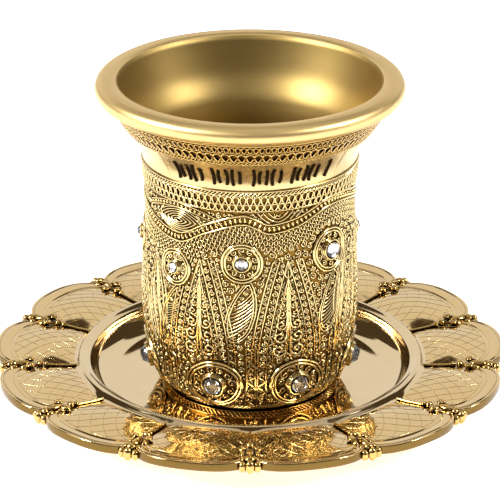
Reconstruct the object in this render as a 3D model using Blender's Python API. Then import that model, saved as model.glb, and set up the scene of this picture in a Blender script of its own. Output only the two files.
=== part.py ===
"""A gold kiddush cup with filigree relief and set crystals, resting in its saucer of thirteen petals.

Lengths are in metres and angles in degrees. The saucer stands on z = 0, and cup and saucer share the Z axis.
An angle around the axis is measured from the front (-Y) towards the right (+X).
"""

import math

import bmesh
import bpy
from mathutils import Vector

MM = 0.001

# Fits between pieces
REST_GAP = 0.3 * MM  # between the cup and the well floor
STONE_GAP = 0.3 * MM  # around and under each crystal

# Saucer, from the middle outwards
WELL_RADIUS = 34.6 * MM  # flat floor that the cup stands on
FLOOR_THICKNESS = 1.4 * MM
WELL_DEPTH = 6.5 * MM  # from the crest of the ring down to the floor
WELL_WALL_RUN = 5.6 * MM  # how far the curved wall leans outwards
RING_WIDTH = 2.8 * MM  # bevelled ring around the well
RING_STEP = 1.0 * MM  # outer side of the ring
PETAL_COUNT = 13
PETAL_LENGTH = 20.5 * MM  # from the ring to the lip in the middle of a petal
SCALLOP_DEPTH = 6.5 * MM  # how far the lip falls back between two petals
PETAL_CROWN = 2.2 * MM  # rise of a petal's middle over the valleys beside it
VALLEY_DROP = 1.7 * MM  # valleys below the crest of the ring
VALLEY_RISE = 1.2 * MM  # from the ring out to the border
PETAL_SHEET = 1.2 * MM
LIP_BAND = 2.2 * MM  # height of the upright band around the petals
BORDER_WIDTH = 3.4 * MM  # plain border between the lattice field and the lip
LIP_WIDTH = 0.7 * MM
LIP_CROWN = 0.9 * MM  # rise of the lip in the middle of a petal over its ends
DOME_POWER = 2.2  # how squarely a petal's crown falls off to its valleys
SCALLOP_POWER = 2.6  # how late the lip starts to fall back beside the middle of a petal
SCALLOP_BEND = 0.6  # how steeply it runs into the valley
WALL_SHARE = 0.9  # top of the curved wall as a share of the well's depth

# Ornament that covers each valley
TIP_OVERHANG = 4.5 * MM  # how far its tip passes the lip in the valley
TIP_DROP = 1.6 * MM  # how far its tip hangs below the border
ORNAMENT_WIDTH = 4.8 * MM
ORNAMENT_HEIGHT = 1.6 * MM
ORNAMENT_ROOT = 0.3  # depth of the ornament inside the petals as a share of their sheet
ORNAMENT_CREST = 0.45  # width of its top as a share of its foot

# Cup, from the foot upwards
FOOT_RADIUS = 20.4 * MM
HIP_RADIUS = 25.3 * MM
BELLY_RADIUS = 26.5 * MM
WAIST_RADIUS = 25.6 * MM
NECK_RADIUS = 26.7 * MM
FLARE_RADIUS = 30.2 * MM
LIP_RADIUS = 38.0 * MM
LIP_INNER_RADIUS = 32.5 * MM
LIP_OVERHANG = 3.4 * MM  # rolled lip beyond the flare under it
LIP_TAPER = 1.4 * MM  # how much narrower the inside is under the lip than at its edge
HIP_RISE = 8.0 * MM
BELLY_RISE = 18.0 * MM
WAIST_RISE = 24.0 * MM
NECK_RISE = 11.0 * MM
FLARE_RISE = 7.0 * MM
UNDERLIP_RISE = 6.8 * MM
LIP_RISE = 5.0 * MM
WALL = 1.3 * MM
BASE_THICKNESS = 2.2 * MM
BASE_RECESS = 0.8 * MM
FOOT_RING_WIDTH = 2.4 * MM

# Bands of relief around the cup
BAND_RELIEF = 0.5 * MM
LOWER_BAND_WIDTH = 5.2 * MM
LOWER_BAND_DROP = 1.2 * MM  # its top edge below the neck
UPPER_BAND_WIDTH = 6.0 * MM
UPPER_BAND_LIFT = 0.3 * MM  # its lower edge above the flare's start
SWAG_WIDTH = 2.4 * MM
SWAG_RELIEF = 0.6 * MM
SWAG_CREST = 0.8  # width of the swag's top as a share of its foot
# Angle and height over the waist of the swag's crests and troughs, the back in keeping with the front
SWAG_KNOTS = (
    (-152, 0.5 * MM), (-115, 3.5 * MM), (-78, -1.0 * MM), (-42, -4.4 * MM), (-24, -0.7 * MM), (-3, 2.3 * MM),
    (11, -0.2 * MM), (23, 0.6 * MM), (50, 4.3 * MM), (84, 1.0 * MM), (118, -4.0 * MM), (160, 2.5 * MM),
)

# Upper medallions: angle, height over the belly and radius of the crystal
MEDALLIONS = (
    (-90, 13.2 * MM, 1.3 * MM), (-43.5, 11.6 * MM, 1.2 * MM), (-4.3, 15.2 * MM, 1.55 * MM),
    (48, 15.5 * MM, 2.1 * MM), (102, 12.5 * MM, 1.3 * MM), (156, 15.0 * MM, 1.55 * MM), (213, 14.0 * MM, 2.1 * MM),
)
MEDALLION_MARGIN = 2.5 * MM  # rim of a medallion beyond its collet
RIM_WIDTH = 0.7 * MM
RIM_RELIEF = 0.55 * MM
RIM_FOOT = 1.4  # foot of a rim's inner side as a share of its width
FIELD_RELIEF = 0.15 * MM  # floor inside a rim and under a crystal
COLLET_WIDTH = 0.5 * MM
COLLET_RELIEF = 1.1 * MM
BOSS_ROOT = 0.6 * MM  # depth of every boss inside the wall

# Lower ovals: one crystal each, leaning to alternate sides
OVAL_ANGLES = (-78, -20.5, 27.5, 78, 129, 180, 231)
OVAL_HEIGHT = 8.2 * MM
OVAL_LENGTH = 14.6 * MM
OVAL_WIDTH = 12.4 * MM
OVAL_LEAN = 24
OVAL_STONE_RADIUS = 2.35 * MM
STONE_CROWN = 0.62  # height of a crystal over its collet as a share of its radius
STONE_TABLE = 0.58  # flat top of a crystal as a share of its radius

# Trees of scrolls that rise beside each oval
TREE_LAG = 7  # degrees from the oval back to the tree
TREE_GAP = 1.2 * MM  # over the oval
TREE_HEIGHT = 19.0 * MM
TREE_SCROLL_RADIUS = 2.1 * MM  # lowest pair, the pairs above shrink
TREE_TIERS = 3
TREE_SHRINK = 0.16  # loss of each tier's radius as a share of the lowest
TREE_STEM = 0.45  # half width of the stem as a share of the scroll radius
TREE_SPREAD = 0.6  # scrolls clear of the middle by this share of the stem
TREE_STEP = 1.05  # rise to the next tier as a share of the radius
TREE_SLOPE = 0.35  # slope around a cushion as a share of its half width
TREE_RELIEF = 0.6 * MM
STEM_SIDES = 4

SHARP_ANGLE = 35  # edges that bend more than this are sharp
NORMAL_STEP = 0.2 * MM  # reach over which the slope of the cup's side is measured
CUP_SIDES = 34
BOSS_SIDES = 9
STONE_SIDES = 6
SCROLL_SIDES = 4
PETAL_COLUMNS = (-1.0, -0.76, -0.26, 0.26, 0.76)  # across a petal, from valley to valley

# Sizes that follow from the ones above
CUP_BASE_Z = FLOOR_THICKNESS + REST_GAP
RING_Z = FLOOR_THICKNESS + WELL_DEPTH
RING_INNER_RADIUS = WELL_RADIUS + WELL_WALL_RUN
RING_RADIUS = RING_INNER_RADIUS + RING_WIDTH
RING_FOOT_RADIUS = RING_RADIUS + RING_STEP
PETAL_REACH = RING_FOOT_RADIUS + PETAL_LENGTH
VALLEY_Z = RING_Z - VALLEY_DROP
BELLY_Z = HIP_RISE + BELLY_RISE
WAIST_Z = BELLY_Z + WAIST_RISE
NECK_Z = WAIST_Z + NECK_RISE
FLARE_Z = NECK_Z + FLARE_RISE
UNDERLIP_Z = FLARE_Z + UNDERLIP_RISE
CUP_HEIGHT = UNDERLIP_Z + LIP_RISE
UNDERLIP_RADIUS = LIP_RADIUS - LIP_OVERHANG
LOWER_BAND_TOP = NECK_Z - LOWER_BAND_DROP
LOWER_BAND_BOTTOM = LOWER_BAND_TOP - LOWER_BAND_WIDTH
UPPER_BAND_BOTTOM = FLARE_Z + UPPER_BAND_LIFT
UPPER_BAND_TOP = UPPER_BAND_BOTTOM + UPPER_BAND_WIDTH
CUP_KNOTS = (
    (0.0, FOOT_RADIUS), (HIP_RISE, HIP_RADIUS), (BELLY_Z, BELLY_RADIUS), (WAIST_Z, WAIST_RADIUS),
    (NECK_Z, NECK_RADIUS), (FLARE_Z, FLARE_RADIUS), (UNDERLIP_Z, UNDERLIP_RADIUS),
)
# Heights of the rows that the wall is built from
WALL_ROWS = (
    0.0, 0.4 * HIP_RISE, HIP_RISE, HIP_RISE + 0.5 * BELLY_RISE, BELLY_Z, BELLY_Z + 0.5 * WAIST_RISE, WAIST_Z,
    LOWER_BAND_BOTTOM, NECK_Z + 0.5 * FLARE_RISE, FLARE_Z, UNDERLIP_Z,
)


def clear_scene():
    for obj in list(bpy.data.objects):
        bpy.data.objects.remove(obj)


def make_material(name, colour, roughness, metallic, transmission=0.0):
    material = bpy.data.materials.new(name)
    material.use_nodes = True
    shader = material.node_tree.nodes["Principled BSDF"]
    shader.inputs["Base Color"].default_value = (*colour, 1.0)
    shader.inputs["Roughness"].default_value = roughness
    shader.inputs["Metallic"].default_value = metallic
    shader.inputs["Transmission Weight"].default_value = transmission
    return material


def knot_slopes(knots):
    """Slopes of a smooth curve through the knots that never swings past them."""
    chords = [(b[1] - a[1]) / (b[0] - a[0]) for a, b in zip(knots, knots[1:])]
    slopes = [1.5 * chords[0]]
    for before, after in zip(chords, chords[1:]):
        slopes.append(2 * before * after / (before + after) if before * after > 0 else 0.0)
    slopes.append(chords[-1])
    return slopes


def smooth_value(knots, slopes, x):
    """Value at x of the smooth curve through the knots."""
    last = len(knots) - 2
    i = next((k for k in range(last) if x < knots[k + 1][0]), last)
    (x0, y0), (x1, y1) = knots[i], knots[i + 1]
    span = x1 - x0
    t = min(max((x - x0) / span, 0.0), 1.0)
    rise = y1 - y0
    a = slopes[i] * span - rise
    b = rise - slopes[i + 1] * span
    return y0 + t * rise + t * (1 - t) * ((1 - t) * a + t * b)


CUP_SLOPES = knot_slopes(CUP_KNOTS)


def cup_radius(height):
    """Outer radius of the plain cup at a height over its base."""
    return smooth_value(CUP_KNOTS, CUP_SLOPES, height)


def wall_radius(height):
    """Outer radius of the wall as it is built, straight between the rows of its profile."""
    last = len(WALL_ROWS) - 2
    i = next((k for k in range(last) if height < WALL_ROWS[k + 1]), last)
    low, high = WALL_ROWS[i], WALL_ROWS[i + 1]
    share = (height - low) / (high - low)
    return (1 - share) * cup_radius(low) + share * cup_radius(high)


def cup_normal(height):
    """Outward direction of the cup's surface, as its radial and its upward share."""
    step = NORMAL_STEP
    slope = (cup_radius(height + step) - cup_radius(height - step)) / (2 * step)
    length = math.hypot(1.0, slope)
    return 1.0 / length, -slope / length


def around(angle, radius, z):
    """Point at an angle from the front, a distance from the axis and a height."""
    turn = math.radians(angle)
    return Vector((radius * math.sin(turn), -radius * math.cos(turn), z))


def on_cup(angle, height, offset):
    """Point over the cup's outer surface, the offset measured square to it."""
    radial, upward = cup_normal(height)
    return around(angle, wall_radius(height) + offset * radial, CUP_BASE_Z + height + offset * upward)


def loft(bm, rings):
    """Closed body through rings of points, capped flat at both ends. Rings run counter-clockwise, upwards."""
    loops = [[bm.verts.new(point) for point in ring] for ring in rings]
    count = len(loops[0])
    for low, high in zip(loops, loops[1:]):
        for j in range(count):
            k = (j + 1) % count
            bm.faces.new((low[j], low[k], high[k], high[j]))
    bm.faces.new(list(reversed(loops[0])))
    bm.faces.new(loops[-1])


def make_object(name, bm, material):
    bmesh.ops.recalc_face_normals(bm, faces=bm.faces)
    mesh = bpy.data.meshes.new(name)
    bm.to_mesh(mesh)
    bm.free()
    mesh.materials.append(material)
    mesh.shade_smooth()
    mesh.set_sharp_from_angle(angle=math.radians(SHARP_ANGLE))
    obj = bpy.data.objects.new(name, mesh)
    bpy.context.scene.collection.objects.link(obj)
    return obj


def join_relief(body, relief):
    """The relief becomes one body with the piece that carries it."""
    relief.display_type = "WIRE"
    relief.hide_render = True
    union = body.modifiers.new("relief", "BOOLEAN")
    union.operation = "UNION"
    union.object = relief
    union.solver = "EXACT"
    union.use_self = True


def patch_rings(angle, height, lean, half_width, half_height, levels, sides):
    """Rings of an oval boss on the cup: each level is a margin inwards from the outline and an offset."""
    turn = math.radians(lean)
    rings = []
    for inset, offset in levels:
        ring = []
        for j in range(sides):
            phase = math.tau * j / sides
            x = (half_width - inset) * math.cos(phase)
            y = (half_height - inset) * math.sin(phase)
            across = x * math.cos(turn) - y * math.sin(turn)
            up = x * math.sin(turn) + y * math.cos(turn)
            ring.append(on_cup(angle + math.degrees(across / cup_radius(height)), height + up, offset))
        rings.append(ring)
    return rings


def boss_levels(half_width, stone_radius):
    """Rim, sunk field, collet and socket of a boss, as insets from its outline and offsets."""
    socket = stone_radius + STONE_GAP
    collet = half_width - socket - COLLET_WIDTH
    return (
        (0.0, -BOSS_ROOT), (0.0, RIM_RELIEF), (RIM_WIDTH, RIM_RELIEF), (RIM_FOOT * RIM_WIDTH, FIELD_RELIEF),
        (collet, COLLET_RELIEF), (half_width - socket, COLLET_RELIEF), (half_width - socket, FIELD_RELIEF),
    )


def add_round_boss(bm, angle, height, stone_radius):
    radius = stone_radius + STONE_GAP + COLLET_WIDTH + MEDALLION_MARGIN
    levels = boss_levels(radius, stone_radius)
    loft(bm, patch_rings(angle, height, 0, radius, radius, levels, BOSS_SIDES))


def add_oval_boss(bm, angle, lean):
    """Oval rim on a sunk field, with a round collet in its middle."""
    width, length = OVAL_WIDTH / 2, OVAL_LENGTH / 2
    rim = boss_levels(width, OVAL_STONE_RADIUS)[:4]
    rings = patch_rings(angle, OVAL_HEIGHT, lean, length, width, rim, BOSS_SIDES)
    socket = OVAL_STONE_RADIUS + STONE_GAP
    outer = socket + COLLET_WIDTH
    for radius, offset in ((outer, COLLET_RELIEF), (socket, COLLET_RELIEF), (socket, FIELD_RELIEF)):
        rings += patch_rings(angle, OVAL_HEIGHT, lean, radius, radius, ((0.0, offset),), BOSS_SIDES)
    loft(bm, rings)


def add_stone(name, material, angle, height, radius):
    """Flat backed crystal with a cut crown, seated in its collet with a gap all around."""
    seat = FIELD_RELIEF + STONE_GAP
    crown = COLLET_RELIEF + STONE_CROWN * radius
    bm = bmesh.new()
    levels = ((radius, seat), (radius, COLLET_RELIEF), (STONE_TABLE * radius, crown))
    rings = []
    for ring_radius, offset in levels:
        rings += patch_rings(angle, height, 0, ring_radius, ring_radius, ((0.0, offset),), STONE_SIDES)
    loft(bm, rings)
    return make_object(name, bm, material)


def oval_lean(index):
    return OVAL_LEAN if index % 2 else -OVAL_LEAN


def add_tree(bm, angle):
    """Stem with pairs of scrolls that shrink towards its pointed top."""
    foot = OVAL_HEIGHT + OVAL_WIDTH / 2 + TREE_GAP
    top = foot + TREE_HEIGHT
    stem = TREE_STEM * TREE_SCROLL_RADIUS
    add_patch(bm, angle, 0.0, (foot + top) / 2, stem, TREE_HEIGHT / 2, STEM_SIDES)
    height = foot
    for tier in range(TREE_TIERS):
        radius = TREE_SCROLL_RADIUS * (1 - TREE_SHRINK * tier)
        height += radius
        for side in (-1, 1):
            add_patch(bm, angle, side * (radius + TREE_SPREAD * stem), height, radius, radius, SCROLL_SIDES)
        height += TREE_STEP * radius


def add_patch(bm, angle, across, height, half_width, half_height, sides):
    """Low cushion beside the line at an angle."""
    centre = angle + math.degrees(across / cup_radius(height))
    slope = TREE_SLOPE * min(half_width, half_height)
    levels = ((0.0, -BOSS_ROOT), (slope, TREE_RELIEF))
    loft(bm, patch_rings(centre, height, 0, half_width, half_height, levels, sides))


def swag_height(angle):
    """Height of the swag's middle line over the cup's base, periodic around the cup."""
    turns = [(a - 360, h) for a, h in SWAG_KNOTS[-2:]] + list(SWAG_KNOTS) + [(a + 360, h) for a, h in SWAG_KNOTS[:2]]
    return WAIST_Z + smooth_value(turns, knot_slopes(turns), angle)


def add_swag(bm):
    """Wavy ribbon around the cup, a closed loop of four sided sections."""
    start = SWAG_KNOTS[0][0]
    sections = []
    for j in range(CUP_SIDES):
        angle = start + 360 * (j + 0.5) / CUP_SIDES
        middle = swag_height(angle)
        half = SWAG_WIDTH / 2
        crest = SWAG_CREST * half
        corners = ((half, -BOSS_ROOT), (crest, SWAG_RELIEF), (-crest, SWAG_RELIEF), (-half, -BOSS_ROOT))
        sections.append([bm.verts.new(on_cup(angle, middle + up, out)) for up, out in corners])
    for j, near in enumerate(sections):
        far = sections[(j + 1) % CUP_SIDES]
        for k in range(4):
            m = (k + 1) % 4
            bm.faces.new((near[k], near[m], far[m], far[k]))


def cup_outer_profile():
    """Outer side of the cup from its foot to the lip, with both bands standing out, as radius and height."""
    profile = [(cup_radius(height), height) for height in WALL_ROWS[:8]]
    profile += band_profile(LOWER_BAND_BOTTOM, LOWER_BAND_TOP)
    profile += [(cup_radius(height), height) for height in WALL_ROWS[8:10]]
    profile += band_profile(UPPER_BAND_BOTTOM, UPPER_BAND_TOP)
    return profile


def band_profile(low, high):
    """Raised band with sloped edges."""
    edge = BAND_RELIEF
    steps = ((low, 0.0), (low + edge, BAND_RELIEF), (high - edge, BAND_RELIEF), (high, 0.0))
    return [(cup_radius(height) + offset, height) for height, offset in steps[1:]]


def lip_profile():
    """Rolled lip from its underside over the top to the inner edge."""
    middle = (LIP_RADIUS + LIP_INNER_RADIUS) / 2
    return [
        (UNDERLIP_RADIUS, UNDERLIP_Z),
        (LIP_RADIUS - 0.15 * LIP_OVERHANG, UNDERLIP_Z + 0.2 * LIP_RISE),
        (LIP_RADIUS, UNDERLIP_Z + 0.5 * LIP_RISE),
        (LIP_RADIUS - 0.3 * LIP_OVERHANG, UNDERLIP_Z + 0.88 * LIP_RISE),
        (middle, CUP_HEIGHT),
        (LIP_INNER_RADIUS, CUP_HEIGHT - 0.12 * LIP_RISE),
    ]


def inner_profile():
    """Inside of the cup from the lip down to the floor, one wall within the outer side."""
    steps = (FLARE_Z + 0.2 * UNDERLIP_RISE, NECK_Z + 0.4 * FLARE_RISE, WAIST_Z, BELLY_Z, HIP_RISE)
    profile = [(LIP_INNER_RADIUS - LIP_TAPER, UNDERLIP_Z)]
    for height in steps:
        radial, upward = cup_normal(height)
        profile.append((min(cup_radius(height) - WALL * radial, LIP_INNER_RADIUS), height - WALL * upward))
    floor_radius = FOOT_RADIUS - 1.5 * WALL
    profile += [(FOOT_RADIUS + 0.5 * WALL, BASE_THICKNESS + 1.4 * WALL), (floor_radius, BASE_THICKNESS)]
    return profile


def base_profile():
    """Underside from the recess out to the foot ring."""
    inner = FOOT_RADIUS - FOOT_RING_WIDTH
    return [(inner - BASE_RECESS, BASE_RECESS), (inner, 0.0)]


def make_cup(material):
    profile = base_profile() + cup_outer_profile() + lip_profile() + inner_profile()
    bm = bmesh.new()
    rings = []
    for radius, height in profile:
        rings.append([around(360 * j / CUP_SIDES, radius, CUP_BASE_Z + height) for j in range(CUP_SIDES)])
    loft(bm, rings)
    cup = make_object("cup", bm, material)

    relief = bmesh.new()
    for angle, height, stone_radius in MEDALLIONS:
        add_round_boss(relief, angle, BELLY_Z + height, stone_radius)
    for index, angle in enumerate(OVAL_ANGLES):
        add_oval_boss(relief, angle, oval_lean(index))
        add_tree(relief, angle - TREE_LAG)
    add_swag(relief)
    join_relief(cup, make_object("cup_relief", relief, material))


def make_stones(material):
    for index, (angle, height, radius) in enumerate(MEDALLIONS, 1):
        add_stone(f"crystal_upper_{index}", material, angle, BELLY_Z + height, radius)
    for index, angle in enumerate(OVAL_ANGLES, 1):
        add_stone(f"crystal_lower_{index}", material, angle, OVAL_HEIGHT, OVAL_STONE_RADIUS)


def petal_dome(x):
    """Rise of the petal across its width, none in the valleys."""
    return 1 - abs(x) ** DOME_POWER


def lip_radius(x):
    """Outline of the petals across one of them."""
    return PETAL_REACH - SCALLOP_DEPTH * (1 - (1 - abs(x) ** SCALLOP_POWER) ** SCALLOP_BEND)


def saucer_ring(radius_at, z_at):
    """One loop around the saucer, with its radius and height as functions of the place across a petal."""
    ring = []
    pitch = 360 / PETAL_COUNT
    for petal in range(PETAL_COUNT):
        for x in PETAL_COLUMNS:
            ring.append(around(pitch * (petal + (x + 1) / 2), radius_at(x), z_at(x)))
    return ring


def plain_ring(radius, z):
    return saucer_ring(lambda x: radius, lambda x: z)


def valley_z(share):
    """Height of the valleys at a share of the way from the ring to the border."""
    return VALLEY_Z + VALLEY_RISE * min(max(share, 0.0), 1.0) ** 2


def petal_ring(share, rise, below=0.0):
    """Loop over the petals: a share of the way from the ring to the border, and a share of the crown."""
    def radius_at(x):
        edge = lip_radius(x) - BORDER_WIDTH
        return RING_FOOT_RADIUS + share * (edge - RING_FOOT_RADIUS)

    return saucer_ring(radius_at, lambda x: valley_z(share) + rise * PETAL_CROWN * petal_dome(x) - below)


def lip_ring(inset, below):
    """Loop along the lip of the petals."""
    return saucer_ring(lambda x: lip_radius(x) - inset, lambda x: valley_z(1.0) + LIP_CROWN * petal_dome(x) - below)


def wall_ring(turn, offset):
    """Loop on the curved wall of the well: the turn runs from the floor to the ring."""
    t = math.radians(turn)
    rise = WALL_SHARE * WELL_DEPTH
    radius = WELL_RADIUS + WELL_WALL_RUN * math.sin(t) + offset * math.sin(t)
    z = FLOOR_THICKNESS + rise * (1 - math.cos(t)) - offset * math.cos(t)
    return radius, z


def saucer_rings():
    top = [plain_ring(WELL_RADIUS, FLOOR_THICKNESS)]
    top += [plain_ring(*wall_ring(turn, 0.0)) for turn in (45, 90)]
    top += [
        plain_ring(RING_RADIUS - 0.35 * RING_WIDTH, RING_Z),
        plain_ring(RING_RADIUS, RING_Z),
        petal_ring(0.0, 0.35),
        petal_ring(0.35, 0.9), petal_ring(1.0, 0.12),
        lip_ring(LIP_WIDTH, 0.0), lip_ring(0.0, 0.1 * LIP_BAND),
    ]
    under = [
        lip_ring(0.0, LIP_BAND), lip_ring(1.5 * LIP_WIDTH, LIP_BAND),
        petal_ring(1.0, 0.12, PETAL_SHEET), petal_ring(0.5, 0.82, PETAL_SHEET),
        petal_ring(0.0, 0.0, PETAL_SHEET),
    ]
    under += [plain_ring(*wall_ring(turn, FLOOR_THICKNESS)) for turn in (80, 45, 0)]
    return list(reversed(top + under))


def ornament_sections():
    """Radius, half width, height and depth of the ornament, from the ring to its tip."""
    valley_end = PETAL_REACH - SCALLOP_DEPTH
    length = valley_end - RING_RADIUS
    half, tall, root = ORNAMENT_WIDTH / 2, ORNAMENT_HEIGHT, ORNAMENT_ROOT * PETAL_SHEET
    along = (
        (0.0, 0.2, 0.35), (0.5, 0.2, 0.4), (0.57, 0.42, 0.8), (0.65, 0.22, 0.45), (0.83, 1.0, 1.0), (1.0, 0.55, 0.7),
    )
    sections = [(RING_RADIUS + share * length, wide * half, high * tall, root) for share, wide, high in along]
    for share, wide, high in ((0.6, 0.9, 0.8), (1.0, 0.85, -0.4)):
        sections.append((valley_end + share * TIP_OVERHANG, wide * half, high * tall, share * TIP_DROP))
    return sections


def add_ornament(bm, angle):
    turn = math.radians(angle)
    outwards = Vector((math.sin(turn), -math.cos(turn), 0.0))
    sideways = Vector((math.cos(turn), math.sin(turn), 0.0))
    border = PETAL_REACH - SCALLOP_DEPTH - BORDER_WIDTH
    rings = []
    for radius, half, tall, deep in ornament_sections():
        base = valley_z((radius - RING_FOOT_RADIUS) / (border - RING_FOOT_RADIUS))
        crest = ORNAMENT_CREST * half
        corners = ((-half, -deep), (half, -deep), (crest, tall), (-crest, tall))
        rings.append([
            outwards * radius + sideways * across + Vector((0.0, 0.0, base + up)) for across, up in corners
        ])
    loft(bm, rings)


def make_saucer(material):
    bm = bmesh.new()
    loft(bm, saucer_rings())
    saucer = make_object("saucer", bm, material)
    relief = bmesh.new()
    for petal in range(PETAL_COUNT):
        add_ornament(relief, 360 * petal / PETAL_COUNT)
    join_relief(saucer, make_object("saucer_relief", relief, material))


def main():
    clear_scene()
    antique_gold = make_material("antique_gold", (0.62, 0.40, 0.14), 0.3, 1.0)
    polished_gold = make_material("polished_gold", (0.83, 0.62, 0.30), 0.12, 1.0)
    crystal = make_material("crystal", (0.92, 0.94, 0.96), 0.03, 0.0, 1.0)
    make_saucer(polished_gold)
    make_cup(antique_gold)
    make_stones(crystal)


main()
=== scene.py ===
"""Looks of a gold kiddush cup with filigree relief and set crystals, resting in its petalled saucer.

Lengths are in metres and angles in degrees. The saucer stands on z = 0 and the cup shares its axis. An angle
around the axis is measured from the front (-Y) towards the right (+X), and a height on the cup from its base.
"""

import math

import bpy
import numpy as np
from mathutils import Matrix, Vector


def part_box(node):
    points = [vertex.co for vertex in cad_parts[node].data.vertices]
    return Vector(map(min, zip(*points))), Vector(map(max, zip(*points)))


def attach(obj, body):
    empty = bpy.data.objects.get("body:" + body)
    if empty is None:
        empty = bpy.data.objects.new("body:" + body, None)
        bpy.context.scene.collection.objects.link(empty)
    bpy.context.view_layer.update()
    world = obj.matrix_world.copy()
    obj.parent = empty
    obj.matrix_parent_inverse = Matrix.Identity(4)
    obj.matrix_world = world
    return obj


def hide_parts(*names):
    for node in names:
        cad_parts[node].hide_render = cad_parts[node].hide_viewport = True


bl_info = {
    "name": "Kiddush cup",
    "version": (1, 0, 0),
    "blender": (4, 5, 0),
    "location": "3D View > Sidebar > Kiddush cup",
    "description": "Builds a filigree kiddush cup with crystals on its petalled saucer",
    "category": "Add Mesh",
}

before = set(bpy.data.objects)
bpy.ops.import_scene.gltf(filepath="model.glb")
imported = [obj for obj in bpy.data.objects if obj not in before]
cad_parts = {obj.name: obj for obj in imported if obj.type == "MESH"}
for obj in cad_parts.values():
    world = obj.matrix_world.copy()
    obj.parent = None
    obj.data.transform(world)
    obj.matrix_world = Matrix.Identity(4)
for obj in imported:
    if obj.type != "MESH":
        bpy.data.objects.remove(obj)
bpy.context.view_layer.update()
CUP_LOW, CUP_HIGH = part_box("cup")
SAUCER_LOW, SAUCER_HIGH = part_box("saucer")

MM = 0.001

# Cup profile as heights over the base and radii, the same as the solid's
CUP_BASE_Z = CUP_LOW.z
CUP_HEIGHT = CUP_HIGH.z - CUP_LOW.z
HIP_Z, BELLY_Z, WAIST_Z, NECK_Z, FLARE_Z, UNDERLIP_Z = 8 * MM, 26 * MM, 50 * MM, 61 * MM, 68 * MM, 74.8 * MM
LIP_RADIUS = CUP_HIGH.x
LIP_OVERHANG = 3.4 * MM
LIP_INNER_RADIUS = 32.5 * MM
CUP_KNOTS = (
    (0.0, 20.4 * MM), (HIP_Z, 25.3 * MM), (BELLY_Z, 26.5 * MM), (WAIST_Z, 25.6 * MM), (NECK_Z, 26.7 * MM),
    (FLARE_Z, 30.2 * MM), (UNDERLIP_Z, LIP_RADIUS - LIP_OVERHANG),
)
WALL = 1.3 * MM
FLOOR_HEIGHT = 2.2 * MM

# Bands and swag
LOWER_BAND = (NECK_Z - 6.4 * MM, NECK_Z - 1.2 * MM)
UPPER_BAND = (FLARE_Z + 0.3 * MM, FLARE_Z + 6.3 * MM)
SWAG_KNOTS = (
    (-152, 0.5), (-115, 3.5), (-78, -1.0), (-42, -4.4), (-24, -0.7), (-3, 2.3),
    (11, -0.2), (23, 0.6), (50, 4.3), (84, 1.0), (118, -4.0), (160, 2.5),
)

# Crystals in the upper medallions (angle, height, radius) and the lower ovals
MEDALLIONS = (
    (-90, BELLY_Z + 13.2 * MM, 1.3 * MM), (-43.5, BELLY_Z + 11.6 * MM, 1.2 * MM),
    (-4.3, BELLY_Z + 15.2 * MM, 1.55 * MM), (48, BELLY_Z + 15.5 * MM, 2.1 * MM),
    (102, BELLY_Z + 12.5 * MM, 1.3 * MM), (156, BELLY_Z + 15.0 * MM, 1.55 * MM), (213, BELLY_Z + 14.0 * MM, 2.1 * MM),
)
OVAL_ANGLES = (-78, -20.5, 27.5, 78, 129, 180, 231)
OVAL_HEIGHT = 8.2 * MM
OVAL_STONE_RADIUS = 2.35 * MM
TREE_LAG = 7

# Saucer, the same as the solid's
WELL_RADIUS = 34.6 * MM
FLOOR_THICKNESS = 1.4 * MM
WELL_DEPTH = 6.5 * MM
WELL_WALL_RUN = 5.6 * MM
RING_WIDTH = 2.8 * MM
RING_STEP = 1.0 * MM
PETAL_COUNT = 13
PETAL_LENGTH = 20.5 * MM
SCALLOP_DEPTH = 6.5 * MM
PETAL_CROWN = 2.2 * MM
VALLEY_DROP = 1.7 * MM
VALLEY_RISE = 1.2 * MM
PETAL_SHEET = 1.2 * MM
LIP_BAND = 2.2 * MM
BORDER_WIDTH = 3.4 * MM
LIP_CROWN = 0.9 * MM
TIP_OVERHANG = 4.5 * MM
TIP_DROP = 1.6 * MM
RING_Z = FLOOR_THICKNESS + WELL_DEPTH
RING_INNER_RADIUS = WELL_RADIUS + WELL_WALL_RUN
RING_RADIUS = RING_INNER_RADIUS + RING_WIDTH
RING_FOOT_RADIUS = RING_RADIUS + RING_STEP
PETAL_REACH = RING_FOOT_RADIUS + PETAL_LENGTH
VALLEY_Z = RING_Z - VALLEY_DROP
VALLEY_END = PETAL_REACH - SCALLOP_DEPTH


class CupSizes(bpy.types.PropertyGroup):
    wire: bpy.props.FloatProperty(
        name="Wire", description="Half width of the fine filigree wire", default=0.24 * MM, unit="LENGTH")
    bold_wire: bpy.props.FloatProperty(
        name="Bold wire", description="Half width of the wires that edge bands and ovals",
        default=0.31 * MM, unit="LENGTH")
    bead_pitch: bpy.props.FloatProperty(
        name="Bead pitch", description="Distance between the barrel beads of the swag",
        default=1.15 * MM, unit="LENGTH")
    scroll_seed: bpy.props.IntProperty(
        name="Scroll seed", description="Seed of the small scrolls that fill the ground", default=7)
    gold: bpy.props.StringProperty(
        name="Polished gold", description="sRGB colour of the polished plate", default="E8D2AA")
    satin: bpy.props.StringProperty(
        name="Satin gold", description="sRGB colour of the brushed lip and inside", default="EACC90")
    # Colour of the filigree ground: partly patina, partly painted shade between the wires.
    patina: bpy.props.StringProperty(
        name="Patina", description="sRGB colour of the darkened ground", default="8A682E")


class SaucerSizes(bpy.types.PropertyGroup):
    lattice_wire: bpy.props.FloatProperty(
        name="Lattice line", description="Half width of the engraved lattice lines",
        default=0.06 * MM, unit="LENGTH")
    lattice_lines: bpy.props.IntProperty(
        name="Lattice lines", description="Lines of the lattice each way across a petal", default=9)


class StageSizes(bpy.types.PropertyGroup):
    floor: bpy.props.StringProperty(name="Floor", description="sRGB colour of the floor", default="FFFFFF")
    floor_size: bpy.props.FloatProperty(
        name="Floor size", description="Side of the floor", default=6.0, unit="LENGTH")


# Surfaces

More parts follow.
